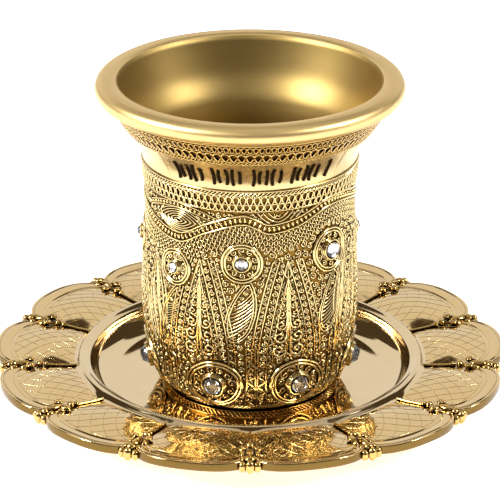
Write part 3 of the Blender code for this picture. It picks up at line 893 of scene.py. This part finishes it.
class Trees(bpy.types.Operator):
    """Trees of scrolls over the ovals, each under a pointed arch with columns of scrolls and zigzags beside it"""

    bl_idname = "kiddush.trees"
    bl_label = "Trees and arches"

    def execute(self, context):
        sizes = context.scene.kiddush_cup
        bosses, swag = (in_bosses, 0.5 * MM), (in_swag, 0.1 * MM)
        bold, scrolls, lines, fine = [], [], [], []
        for angle in OVAL_ANGLES:
            centre = (angle - TREE_LAG) * PER_DEGREE
            for strand in tree_scrolls(centre):
                low = np.mean(strand, axis=0)[1] < TREE_FOOT + 10 * MM
                (bold if low else scrolls).extend(kept(strand, bosses, swag))
            legs = {inset: arch_legs(centre, inset * MM) for inset in (1.35, 0.0, -2.1, -3.7)}
            for pair in legs.values():
                for leg in pair:
                    lines += kept(leg, bosses, swag)
            for side in (0, 1):
                fine += kept(zigzag(legs[1.35][side], legs[0.0][side], 1.05 * MM), bosses, swag)
                fine += kept(zigzag(legs[-2.1][side], legs[-3.7][side], 1.0 * MM), bosses, swag)
                middle = (legs[0.0][side] + legs[-2.1][side]) / 2
                length = np.concatenate([[0], np.cumsum(np.hypot(*np.diff(middle, axis=0).T))])
                for at in np.arange(0.8 * MM, length[-1] - 1.2 * MM, 1.9 * MM):
                    x, y = (np.interp(at, length, middle[:, k]) for k in (0, 1))
                    curl = spiral(0.85 * MM, 1.4, 14, 90) * ((-1, 1)[side], 1) + (x, y)
                    scrolls += [run for run in kept(curl, bosses, swag) if len(run) > 12]
        parts = [
            draw_wires("tree_roots", [(wrap(s, 0.3 * MM), False) for s in bold], 1.5 * sizes.wire, 6),
            draw_wires("tree_scrolls", [(wrap(s, 0.26 * MM), False) for s in scrolls], 1.15 * sizes.wire),
            draw_wires("arch_lines", [(wrap(s, 0.22 * MM), False) for s in lines], sizes.wire),
            draw_wires("arch_zigzags", [(wrap(s, 0.2 * MM), False) for s in fine], 1.1 * sizes.wire),
        ]
        finish_piece(joined("trees", parts), get_material(wire_gold_plate), "antique_gold")
        return {"FINISHED"}


def feather_lines(centre, top, bottom, half, ribs):
    """Drop that hangs from a medallion with its point up and leans over: two outlines and slanting ribs."""
    t = np.linspace(0, math.tau, 56)
    strands = []
    for inset in (0.0, 0.75 * MM):
        tall = top - bottom - 2.2 * inset
        width = (half - inset) * np.sin(t / 2) ** 0.5
        strands.append(np.stack([width * np.sin(t), inset + 0.5 * tall * (1 + np.cos(t))], axis=-1))
    t = np.linspace(-1, 1, 15)
    for k in range(ribs):
        low = 1.2 * MM + (top - bottom - 6.5 * MM) * k / ribs
        reach = (half - 1.3 * MM) * math.sin(math.pi * (0.3 + 0.6 * k / ribs)) ** 0.8
        strands.append(np.stack([reach * t, low + 1.9 * MM * (1 + t) - 0.7 * MM * (1 - t * t)], axis=-1))
    middle = (top - bottom) / 2
    return [strand + np.stack([centre + 0.22 * (strand[:, 1] - middle), np.full(len(strand), bottom)], axis=-1)
            for strand in strands]


# Smooth leaves between the trees as angle, height, lean and half length in millimetres
LEAVES = (
    (-57, 27, 4, 10.5), (57.5, 28, -5, 9.5), (-61, 23, 8, 7), (61.5, 24, -8, 7),
    (-108, 27, 4, 10.5), (106, 27, 4, 9), (145, 27, -4, 10), (198, 27, 4, 10),
)


class Feathers(bpy.types.Operator):
    """Leaves of nested lines that hang from the medallions, and smooth leaves between them"""

    bl_idname = "kiddush.feathers"
    bl_label = "Feathers and leaves"

    def execute(self, context):
        sizes = context.scene.kiddush_cup
        strands = []
        for angle, height, radius in MEDALLIONS:
            top = height - radius - 3.0 * MM
            for strand in feather_lines(angle * PER_DEGREE, top, 20.5 * MM, 3.9 * MM, 9):
                strands += kept(strand, (in_bosses, 0.3 * MM), (in_trees, 2.4 * MM), (in_swag, 0))
        deselect_all()
        bpy.ops.mesh.primitive_uv_sphere_add(segments=12, ring_count=12, radius=1.0)
        leaf = bpy.context.view_layer.objects.active
        places = []
        for angle, height, lean, length in LEAVES:
            size = (0.8 * MM, length * MM, 0.35 * MM)
            places.append((on_cup(angle, height * MM), cup_axes(angle, height * MM, lean, size)))
            for beside in (1.1, 1.8):
                outline = lens(2 * (length + beside) * MM, 4 * beside * MM, 40)[:, ::-1]
                strands.append(place(outline, angle, height * MM, lean) * (PER_DEGREE, 1))
        lines = draw_wires("feather_lines", [(wrap(s, 0.2 * MM), False) for s in strands], sizes.wire)
        leaves = copies_of("smooth_leaves", leaf, places)
        finish_piece(joined("feathers", [lines, leaves]), get_material(wire_gold_plate), "antique_gold")
        return {"FINISHED"}


LENSES = ((-41.5, 50.0, 15.5, 6.2), (118, 50.3, 15.5, 6.2))
CRESCENTS = ((15, 54.2, 15, 5.2), (72, 54.2, 10, 2.4), (-85, 54.4, 13, 6.0), (-122, 54.4, 8, 1.6), (178, 54.4, 11, 2.6))


class Lenses(bpy.types.Operator):
    """Pointed ovals and crescents of nested lines between the swag and the band, with beaded arcs over them"""

    bl_idname = "kiddush.lenses"
    bl_label = "Lenses and crescents"

    def execute(self, context):
        sizes = context.scene.kiddush_cup
        strands, beads = [], []
        for angle, height, width, tall in LENSES:
            for share in (1.0, 0.83, 0.66, 0.49, 0.32, 0.16):
                shape = lens(width * share * MM, tall * share * MM, 44) + (angle * PER_DEGREE, height * MM)
                strands.append((wrap(shape, (0.5 - 0.35 * share) * MM), True))
            t = np.linspace(-1, 1, 60)
            arc = np.stack([angle * PER_DEGREE + 11.2 * MM * t, (height + 3.9 - 2.6 * np.abs(t) ** 1.8) * MM], axis=-1)
            for up in (-0.65 * MM, 0.65 * MM):
                strands.append((wrap(arc + (0, up), 0.25 * MM), False))
            for at in np.linspace(-1, 1, 19):
                up = height + 3.9 - 2.6 * abs(at) ** 1.8
                beads.append((angle + 11.2 * MM * at / PER_DEGREE, up * MM))
        for angle, height, width, tall in CRESCENTS:
            for k in range(5):
                share = 1 - 0.17 * k
                t = np.linspace(-1, 1, 26)
                shape = np.stack([
                    angle * PER_DEGREE + 0.5 * width * share * MM * t,
                    (height - tall * share * (1 - t * t)) * MM], axis=-1)
                for run in kept(shape, (in_swag, 0.1 * MM)):
                    strands.append((wrap(run, 0.2 * MM), False))
        lines = draw_wires("lens_lines", strands, sizes.wire)
        deselect_all()
        bpy.ops.mesh.primitive_uv_sphere_add(segments=8, ring_count=5, radius=1.0)
        bead = bpy.context.view_layer.objects.active
        size = (0.4 * MM, 0.5 * MM, 0.5 * MM)
        row = copies_of("arc_beads", bead, [(on_cup(a, h, 0.15 * MM), cup_axes(a, h, 0, size)) for a, h in beads])
        finish_piece(joined("lenses", [lines, row]), get_material(wire_gold_plate), "antique_gold")
        return {"FINISHED"}


class FootBand(bpy.types.Operator):
    """Zigzag strips between the ovals and the ring of small bars around the foot"""

    bl_idname = "kiddush.foot_band"
    bl_label = "Foot band"

    def execute(self, context):
        sizes = context.scene.kiddush_cup
        bold = [ring_wire(0.35 * MM, 0.1 * MM), ring_wire(1.5 * MM, 0.1 * MM)]
        fine = rope(0.92 * MM, 0.15 * MM, 1.1 * MM, 0.4 * MM)
        turned = list(OVAL_ANGLES[1:]) + [OVAL_ANGLES[0] + 360]
        for angle, following in zip(OVAL_ANGLES, turned):
            middle = (angle + following) / 2 * PER_DEGREE
            up = np.linspace(1.9 * MM, 19 * MM, 30)
            spread = np.interp(up, (1.9 * MM, 8 * MM, 19 * MM), (2.6 * MM, 2.1 * MM, 2.2 * MM))
            for side in (-1, 1):
                edges = [np.stack([middle + side * (0.25 * MM + spread * s), up], axis=-1) for s in (0, 1)]
                for edge in edges:
                    bold += [(wrap(run, 0.2 * MM), False) for run in kept(edge, (in_bosses, 0.2 * MM))]
                line = zigzag(edges[0], edges[1], 1.35 * MM)
                fine += [(wrap(run, 0.2 * MM), False) for run in kept(line, (in_bosses, 0.2 * MM))]
        parts = [draw_wires("foot_lines", bold, sizes.wire), draw_wires("foot_zigzags", fine, 1.2 * sizes.wire)]
        finish_piece(joined("foot_band", parts), get_material(wire_gold_plate), "antique_gold")
        return {"FINISHED"}


GRID = 0.2 * MM
FILL_LOW, FILL_HIGH = 2.0 * MM, 54.2 * MM


def free_room(objects):
    """Grid over the flat pattern with the distance from each cell to the nearest wire or boss."""
    across = np.arange(0, TURN, GRID)
    up = np.arange(FILL_LOW, FILL_HIGH, GRID)
    taken = np.zeros((len(up), len(across)), bool)
    for obj in objects:
        points = np.zeros(len(obj.data.vertices) * 3)
        obj.data.vertices.foreach_get("co", points)
        points = points.reshape(-1, 3)
        x = (np.arctan2(points[:, 0], -points[:, 1]) * BELT) % TURN
        column = (x / GRID).astype(int) % len(across)
        row = ((points[:, 2] - CUP_BASE_Z - FILL_LOW) / GRID).astype(int)
        good = (row >= 0) & (row < len(up))
        taken[row[good], column[good]] = True
    cells = np.stack(np.meshgrid(across, up), axis=-1).reshape(-1, 2)
    blocked = in_bosses(cells, 0.5 * MM) | in_swag(cells, 0)
    taken |= blocked.reshape(taken.shape)
    reach = 7
    room = np.full(taken.shape, reach * GRID)
    for dy in range(-reach, reach + 1):
        for dx in range(-reach, reach + 1):
            moved = np.roll(taken, dx, axis=1)
            if dy > 0:
                moved = np.concatenate([np.zeros((dy, moved.shape[1]), bool), moved[:-dy]])
            elif dy < 0:
                moved = np.concatenate([moved[-dy:], np.zeros((-dy, moved.shape[1]), bool)])
            room = np.where(moved, np.minimum(room, math.hypot(dx, dy) * GRID), room)
    for k in range(reach):
        edge = k * GRID
        room[k] = np.minimum(room[k], edge)
        room[-1 - k] = np.minimum(room[-1 - k], edge)
    return room


def pack_scrolls(room, radii, gap, rng):
    """Centres and radii of scrolls that fill the free room, the largest first."""
    rows, columns = room.shape
    placed = []
    for radius in radii:
        order = np.argwhere(room >= radius + gap)
        rng.shuffle(order)
        reach = int((radius + 1.6 * MM) / GRID)
        offsets = np.arange(-reach, reach + 1)
        away = np.hypot(offsets[:, None], offsets[None, :]) * GRID - radius
        for row, column in order:
            if room[row, column] < radius + gap:
                continue
            placed.append((column * GRID, FILL_LOW + row * GRID, radius))
            low, high = max(row - reach, 0), min(row + reach + 1, rows)
            wide = (column + offsets) % columns
            window = room[low:high][:, wide]
            room[low:high, wide] = np.minimum(window, away[low - row + reach:high - row + reach])
    return placed


class Ground(bpy.types.Operator):
    """Small scrolls that fill the ground between all other filigree"""

    bl_idname = "kiddush.ground"
    bl_label = "Ground scrolls"

    def execute(self, context):
        sizes = context.scene.kiddush_cup
        rng = np.random.default_rng(sizes.scroll_seed)
        names = ("trees", "feathers", "lenses", "foot_band")
        room = free_room([bpy.data.objects[name] for name in names])
        strands = []
        for x, y, radius in pack_scrolls(room, (1.05 * MM, 0.82 * MM, 0.62 * MM, 0.46 * MM, 0.34 * MM), 0.02 * MM, rng):
            large = radius > 0.6 * MM
            shape = spiral(radius, 1.6 if large else 0.9, 15 if large else 8, rng.uniform(0, 360))
            if rng.random() < 0.5:
                shape = shape * (-1, 1)
            strands.append((wrap(shape + (x, y), 0.14 * MM), False))
        scrolls = draw_wires("ground_scrolls", strands, sizes.wire)
        finish_piece(scrolls, get_material(wire_gold_plate), "antique_gold")
        return {"FINISHED"}


# Saucer

def petal_dome(x):
    return 1 - abs(x) ** 2.2


def lip_radius(x):
    return PETAL_REACH - SCALLOP_DEPTH * (1 - (1 - abs(x) ** 2.6) ** 0.6)


def valley_z(share):
    return VALLEY_Z + VALLEY_RISE * np.clip(share, 0, 1) ** 2


# Rise of a petal over its valleys at shares of the way from the ring to the border
CROWN_SHARES = (0.0, 0.15, 0.35, 0.6, 0.85, 1.0)
CROWN_RISES = (0.35, 0.68, 0.9, 0.78, 0.36, 0.12)


def petal_point(x, share):
    """Radius and height of the petal's top at a place across it and a share of the way to the border."""
    edge = lip_radius(x) - BORDER_WIDTH
    radius = RING_FOOT_RADIUS + share * (edge - RING_FOOT_RADIUS)
    rise = np.interp(share, CROWN_SHARES, CROWN_RISES)
    return radius, valley_z(share) + rise * PETAL_CROWN * petal_dome(x)


def lip_point(x, inset, below):
    return lip_radius(x) - inset, valley_z(1.0) + LIP_CROWN * petal_dome(x) - below


def well_point(turn, offset):
    t = math.radians(turn)
    radius = WELL_RADIUS + WELL_WALL_RUN * math.sin(t) + offset * math.sin(t)
    return radius, FLOOR_THICKNESS + 0.9 * WELL_DEPTH * (1 - math.cos(t)) - offset * math.cos(t)


def saucer_sections():
    """Functions from the place across a petal to radius and height, from the underside out and over to the floor."""
    def plain(radius, z):
        return lambda x: (radius, z)

    def petal(share, below=0.0):
        return lambda x: (petal_point(x, share)[0], petal_point(x, share)[1] - below)

    def lip(inset, below):
        return lambda x: lip_point(x, inset, below)

    def border(share):
        """Place on the plain border, from the groove inside the lip to the outline of the field."""
        def at(x):
            outer, inner = lip_point(x, 1.1 * MM, 0.06 * MM), petal_point(x, 1.0)
            return outer[0] + share * (inner[0] - outer[0]), outer[1] + share * (inner[1] - outer[1])
        return at

    under = [plain(10 * MM, 0.0), plain(*well_point(0, FLOOR_THICKNESS))]
    under += [plain(*well_point(t, FLOOR_THICKNESS)) for t in (15, 30, 45, 60, 75)]
    under += [petal(s, PETAL_SHEET) for s in (0.02, 0.2, 0.4, 0.6, 0.8, 0.97)]
    under += [lip(0.9 * MM, LIP_BAND), lip(0.25 * MM, LIP_BAND + 0.05 * MM)]
    over = [lip(0.02 * MM, LIP_BAND - 0.1 * MM), lip(0.0, 0.6 * LIP_BAND), lip(0.0, 0.16 * MM)]
    over += [lip(0.08 * MM, 0.03 * MM), lip(0.3 * MM, 0.0), lip(0.72 * MM, 0.02 * MM), lip(0.8 * MM, 0.2 * MM)]
    over += [lip(0.95 * MM, 0.2 * MM), lip(1.03 * MM, 0.06 * MM)]
    over += [border(s) for s in (0.3, 0.6, 0.85, 0.97)] + [petal(1.0, 0.14 * MM), petal(0.985, 0.14 * MM), petal(0.97)]
    over += [petal(s) for s in (0.93, 0.88, 0.82, 0.75, 0.67, 0.59, 0.51, 0.43, 0.35, 0.27, 0.2, 0.13, 0.07, 0.02)]
    ring = [(RING_RADIUS + 0.55 * MM, RING_Z - 0.9 * MM), (RING_RADIUS + 0.1 * MM, RING_Z - 0.35 * MM),
            (RING_RADIUS - 0.25 * MM, RING_Z - 0.05 * MM), (RING_RADIUS - 0.7 * MM, RING_Z),
            (RING_RADIUS - 1.1 * MM, RING_Z - 0.1 * MM), (RING_RADIUS - 1.35 * MM, RING_Z - 0.3 * MM),
            (RING_INNER_RADIUS + 0.5 * MM, RING_Z - 0.62 * MM), (RING_INNER_RADIUS + 0.1 * MM, RING_Z - 0.75 * MM)]
    over += [plain(*p) for p in ring]
    over += [plain(*well_point(t, 0.0)) for t in (86, 78, 70, 62, 54, 46, 38, 30, 22, 14, 7, 0)]
    return under + over + [plain(33.6 * MM, FLOOR_THICKNESS), plain(30 * MM, FLOOR_THICKNESS), plain(5 * MM, FLOOR_THICKNESS)]


PETAL_STEPS = 22


def petal_places():
    """Places across one petal, closer together towards the valleys."""
    t = np.linspace(-1, 1, PETAL_STEPS, endpoint=False)
    return np.sign(t) * np.abs(t) ** 0.8


class SaucerPlate(bpy.types.Operator):
    """Saucer with its mirror well, bevelled ring and pillowed petals with a stepped lip"""

    bl_idname = "kiddush.saucer_plate"
    bl_label = "Saucer plate"

    def execute(self, context):
        sections = saucer_sections()
        rough = [(section(0.0)[0], section(0.0)[1]) for section in sections]
        segments = PETAL_COUNT * PETAL_STEPS
        plate = turned_shell("saucer_plate", rough, segments)
        across = petal_places()
        pitch = 360 / PETAL_COUNT
        angles = np.array([pitch * (p + (x + 1) / 2) for p in range(PETAL_COUNT) for x in across])
        xs = np.tile(across, PETAL_COUNT)
        points = []
        for section in sections:
            values = [section(x) for x in xs]
            radius = np.array([v[0] for v in values])
            z = np.array([v[1] for v in values])
            turn = np.radians(angles)
            points.append(np.stack([radius * np.sin(turn), -radius * np.cos(turn), z], axis=-1))
        plate.data.vertices.foreach_set("co", np.concatenate(points).ravel())
        plate.data.update()
        make_active(plate)
        bpy.ops.object.mode_set(mode="EDIT")
        bpy.ops.mesh.select_all(action="SELECT")
        bpy.ops.mesh.normals_make_consistent(inside=False)
        bpy.ops.object.mode_set(mode="OBJECT")
        for maker in (petal_gold_plate, polished_gold_plate, shaded_edge_gold_plate):
            plate.data.materials.append(get_material(maker))
        for polygon in plate.data.polygons:
            radius = math.hypot(polygon.center.x, polygon.center.y)
            turn = math.degrees(math.atan2(polygon.center.x, -polygon.center.y)) % pitch
            if radius < RING_FOOT_RADIUS:
                polygon.material_index = 1
            # Painted shade: the faces of the lip that turn out and down take the darker edge gold.
            elif radius > lip_radius(2 * turn / pitch - 1) - 0.06 * MM and polygon.normal.z < 0.5:
                polygon.material_index = 2
        finish_piece(plate, None, "polished_gold", "saucer")
        return {"FINISHED"}


def on_petal(petal, x, share, lift=0.0):
    """Points on the top of a petal."""
    radius, z = petal_point(x, share)
    turn = np.radians(360 / PETAL_COUNT * (petal + (x + 1) / 2))
    return np.stack([radius * np.sin(turn), -radius * np.cos(turn), z + lift], axis=-1)


class PetalLattice(bpy.types.Operator):
    """Engraved lattice on every petal, with the outline that frames it"""

    bl_idname = "kiddush.petal_lattice"
    bl_label = "Petal lattice"

    def execute(self, context):
        sizes = context.scene.kiddush_saucer
        strands = []
        outline = np.linspace(-0.9, 0.9, 40)
        for petal in range(PETAL_COUNT):
            strands.append((on_petal(petal, outline, np.full(40, 0.93)), False))
            for way in (-1, 1):
                for k in range(sizes.lattice_lines):
                    start = -1.9 + 2.8 * (k + 0.5) / sizes.lattice_lines
                    share = np.linspace(0.02, 0.93, 26)
                    x = way * (start + 0.75 * share + 0.35 * share ** 2)
                    keep = np.abs(x) < 0.9
                    if keep.sum() > 3:
                        strands.append((on_petal(petal, x[keep], share[keep]), False))
        lattice = draw_wires("petal_lattice", strands, sizes.lattice_wire)
        finish_piece(lattice, get_material(wire_gold_plate), "polished_gold")
        return {"FINISHED"}


def lump(place, size, segments=12, rings=8):
    """Smooth lump of the ornament, its size as half lengths across, along the valley and up."""
    deselect_all()
    bpy.ops.mesh.primitive_uv_sphere_add(segments=segments, ring_count=rings, radius=1.0)
    obj = bpy.context.view_layer.objects.active
    bpy.ops.transform.resize(value=tuple(s * MM for s in size))
    bpy.ops.transform.translate(value=tuple(p * MM for p in place))
    bpy.ops.object.transform_apply(location=True, rotation=True, scale=True)
    return obj


def ornament_lumps():
    """Smooth parts of one ornament, over the valley at the front."""
    parts = [lump((0, -51.4, 7.2), (0.7, 0.6, 0.65)), lump((0, -53.0, 7.4), (1.05, 0.85, 0.95))]
    parts.append(lump((0, -57.6, 7.7), (0.95, 2.3, 0.85)))
    for side in (-1, 1):
        parts.append(lump((side * 1.75, -56.6, 7.35), (0.75, 1.5, 0.7)))
        parts.append(lump((side * 1.55, -59.6, 7.3), (0.75, 1.1, 0.75)))
        parts.append(lump((side * 1.75, -61.6, 6.35), (1.05, 1.0, 1.4)))
    parts.append(lump((0, -60.5, 7.8), (1.35, 1.0, 0.85)))
    parts.append(lump((0, -62.1, 6.5), (1.15, 1.05, 1.75)))
    return parts


def ornament_wires():
    """Thin bar along the valley and the pair of scrolls on the ornament's leaf."""
    bar = [(0.0, -r * MM, VALLEY_Z + VALLEY_RISE * ((r - 44) / 11) ** 2 + 0.35 * MM) for r in np.linspace(43.4, 51.4, 9)]
    strands = [(np.array(bar), False)]
    for side in (-1, 1):
        curl = spiral(1.15 * MM, 1.3, 16, 250) * (side, 1) + (side * 1.7 * MM, -55.2 * MM)
        strands.append((np.column_stack([curl, np.full(len(curl), 8.0 * MM)]), False))
    return strands


class PetalOrnaments(bpy.types.Operator):
    """Ornament over each valley: bar, beads, leaf with scrolls and a three lobed tip that hangs over the lip"""

    bl_idname = "kiddush.petal_ornaments"
    bl_label = "Petal ornaments"

    def execute(self, context):
        bar = draw_wires("ornament_bar", ornament_wires(), 0.36 * MM, 6)
        pattern = joined("ornament_pattern", ornament_lumps() + [bar])
        turns = []
        for k in range(PETAL_COUNT):
            t = math.tau * k / PETAL_COUNT
            turns.append(((0, 0, 0), ((math.cos(t), math.sin(t), 0), (-math.sin(t), math.cos(t), 0), (0, 0, 1))))
        ornaments = copies_of("petal_ornaments", pattern, turns)
        finish_piece(ornaments, get_material(cast_gold_plate), "polished_gold")
        # Darkened lump under each ornament: its colour is partly patina and partly painted shade around the ornament.
        base = lump((0, -56.8, 6.6), (2.35, 4.6, 1.05))
        grounds = copies_of("ornament_grounds", base, turns)
        finish_piece(grounds, get_material(darkened_gold), "polished_gold")
        return {"FINISHED"}


# Crystals

def cut_stone(name, radius):
    """Round crystal at the origin: flat back, straight girdle and a crown of facets up to its table."""
    deselect_all()
    bpy.ops.mesh.primitive_cone_add(vertices=12, radius1=radius, radius2=radius * 0.97, depth=0.55 * MM, end_fill_type="NGON")
    stone = bpy.context.view_layer.objects.active
    stone.name = stone.data.name = name
    bpy.ops.object.mode_set(mode="EDIT")
    bpy.ops.mesh.select_all(action="DESELECT")
    bpy.ops.object.mode_set(mode="OBJECT")
    for polygon in stone.data.polygons:
        polygon.select = polygon.normal.z > 0.9
    bpy.ops.object.mode_set(mode="EDIT")
    for share, rise, turn in ((0.8, 0.3, 15), (0.56, 0.26, 15)):
        bpy.ops.mesh.extrude_region_move(TRANSFORM_OT_translate={"value": (0, 0, rise * radius)})
        bpy.ops.transform.resize(value=(share / (0.97 if share == 0.8 else 0.8),) * 2 + (1,), center_override=(0, 0, 0))
        bpy.ops.transform.rotate(value=math.radians(turn), orient_axis="Z", center_override=(0, 0, 0))
    bpy.ops.mesh.select_all(action="SELECT")
    bpy.ops.mesh.quads_convert_to_tris()
    bpy.ops.mesh.normals_make_consistent(inside=False)
    bpy.ops.object.mode_set(mode="OBJECT")
    return stone


class Crystals(bpy.types.Operator):
    """Cut crystals in their collets, each over a foil back"""

    bl_idname = "kiddush.crystals"
    bl_label = "Crystals"

    def execute(self, context):
        stones = [(f"crystal_upper_{i}", a, h, r) for i, (a, h, r) in enumerate(MEDALLIONS, 1)]
        stones += [(f"crystal_lower_{i}", a, OVAL_HEIGHT, OVAL_STONE_RADIUS) for i, a in enumerate(OVAL_ANGLES, 1)]
        for node, angle, height, radius in stones:
            pattern = cut_stone("stone_pattern", radius)
            centre = on_cup(angle, height, 0.95 * MM)
            stone = copies_of(f"cut_{node}", pattern, [(centre, cup_axes(angle, height))])
            stone.data.materials.append(get_material(cut_crystal))
            stone.data.materials.append(get_material(silver_foil))
            out = Vector(cup_axes(angle, height)[2])
            for polygon in stone.data.polygons:
                polygon.material_index = 1 if polygon.normal.dot(out) < 0.2 else 0
            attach(stone, "root")
            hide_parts(node)
        return {"FINISHED"}


# Stage

def soft_light(name, place, target, size, power, colour="FFFFFF"):
    light = bpy.data.lights.new(name, "AREA")
    light.shape = "RECTANGLE"
    light.size, light.size_y = size
    light.energy = power
    light.color = linear(colour)[:3]
    lamp = bpy.data.objects.new(name, light)
    bpy.context.scene.collection.objects.link(lamp)
    lamp.location = place
    lamp.rotation_euler = (Vector(target) - Vector(place)).to_track_quat("-Z", "Y").to_euler()


class Stage(bpy.types.Operator):
    """Pale floor, soft studio light and the camera at the photograph's angle"""

    bl_idname = "kiddush.stage"
    bl_label = "Stage"

    def execute(self, context):
        sizes = context.scene.kiddush_stage
        deselect_all()
        bpy.ops.mesh.primitive_plane_add(size=sizes.floor_size, location=(0, 0, -0.0002))
        floor = context.view_layer.objects.active
        floor.name = "floor"
        material, _, shader = new_material("white_studio_paper")
        shader.inputs["Base Color"].default_value = linear(sizes.floor)
        shader.inputs["Roughness"].default_value = 0.9
        shader.inputs["Emission Color"].default_value = linear("FFFFFF")
        shader.inputs["Emission Strength"].default_value = 0.62
        floor.data.materials.append(material)
        world = bpy.data.worlds.new("studio")
        context.scene.world = world
        world.use_nodes = True
        world.node_tree.nodes["Background"].inputs["Color"].default_value = linear("4E4230")
        world.node_tree.nodes["Background"].inputs["Strength"].default_value = 1.0
        target = (0, 0, 0.04)
        soft_light("back_softbox", (0.0, 1.6, 0.78), target, (3.2, 1.45), 12.5)
        soft_light("front_softbox", (-0.2, -1.3, 0.95), target, (1.3, 0.5), 1.0)
        soft_light("top_softbox", (0.0, 0.1, 1.5), target, (2.2, 1.3), 4.6)
        soft_light("left_softbox", (-1.3, -0.3, 0.7), target, (0.5, 1.0), 5.0)
        soft_light("right_softbox", (1.3, -0.2, 0.7), target, (0.35, 1.0), 3.5)
        soft_light("left_key", (-1.2, -0.5, 0.9), target, (0.4, 0.4), 25.0)
        soft_light("right_key", (1.2, -0.4, 0.9), target, (0.3, 0.4), 12.0)
        camera = bpy.data.cameras.new("photo_camera")
        camera.sensor_width = 36
        camera.lens = 214.53
        camera.shift_y = 0.02
        camera.clip_start = 0.01
        eye = bpy.data.objects.new("photo_camera", camera)
        context.scene.collection.objects.link(eye)
        eye.location = (0.0, -0.68435, 0.3216)
        eye.rotation_euler = (math.radians(90 - 22.8746), 0, 0)
        context.scene.camera = eye
        context.scene.view_settings.view_transform = "Standard"
        return {"FINISHED"}


OPERATORS = (
    Stage, CupShell, UpperBand, LowerBand, Inscription, Swag, Medallions, Ovals, Trees, Feathers, Lenses, FootBand,
    Ground, SaucerPlate, PetalLattice, PetalOrnaments, Crystals,
)


class KiddushPanel(bpy.types.Panel):
    """Pieces of the cup and saucer"""

    bl_idname = "VIEW3D_PT_kiddush_cup"
    bl_label = "Kiddush cup"
    bl_space_type = "VIEW_3D"
    bl_region_type = "UI"
    bl_category = "Kiddush cup"

    def draw(self, context):
        for group in ("kiddush_cup", "kiddush_saucer", "kiddush_stage"):
            sizes = getattr(context.scene, group)
            for name in sizes.bl_rna.properties.keys():
                if name not in ("name", "rna_type"):
                    self.layout.prop(sizes, name)
        for operator in OPERATORS:
            self.layout.operator(operator.bl_idname)


CLASSES = (CupSizes, SaucerSizes, StageSizes) + OPERATORS + (KiddushPanel,)


def register():
    for cls in CLASSES:
        bpy.utils.register_class(cls)
    bpy.types.Scene.kiddush_cup = bpy.props.PointerProperty(type=CupSizes)
    bpy.types.Scene.kiddush_saucer = bpy.props.PointerProperty(type=SaucerSizes)
    bpy.types.Scene.kiddush_stage = bpy.props.PointerProperty(type=StageSizes)


def unregister():
    for name in ("kiddush_cup", "kiddush_saucer", "kiddush_stage"):
        delattr(bpy.types.Scene, name)
    for cls in reversed(CLASSES):
        bpy.utils.unregister_class(cls)


def main():
    register()
    for operator in OPERATORS:
        group, name = operator.bl_idname.split(".")
        getattr(getattr(bpy.ops, group), name)()


if __name__ == "__main__":
    main()
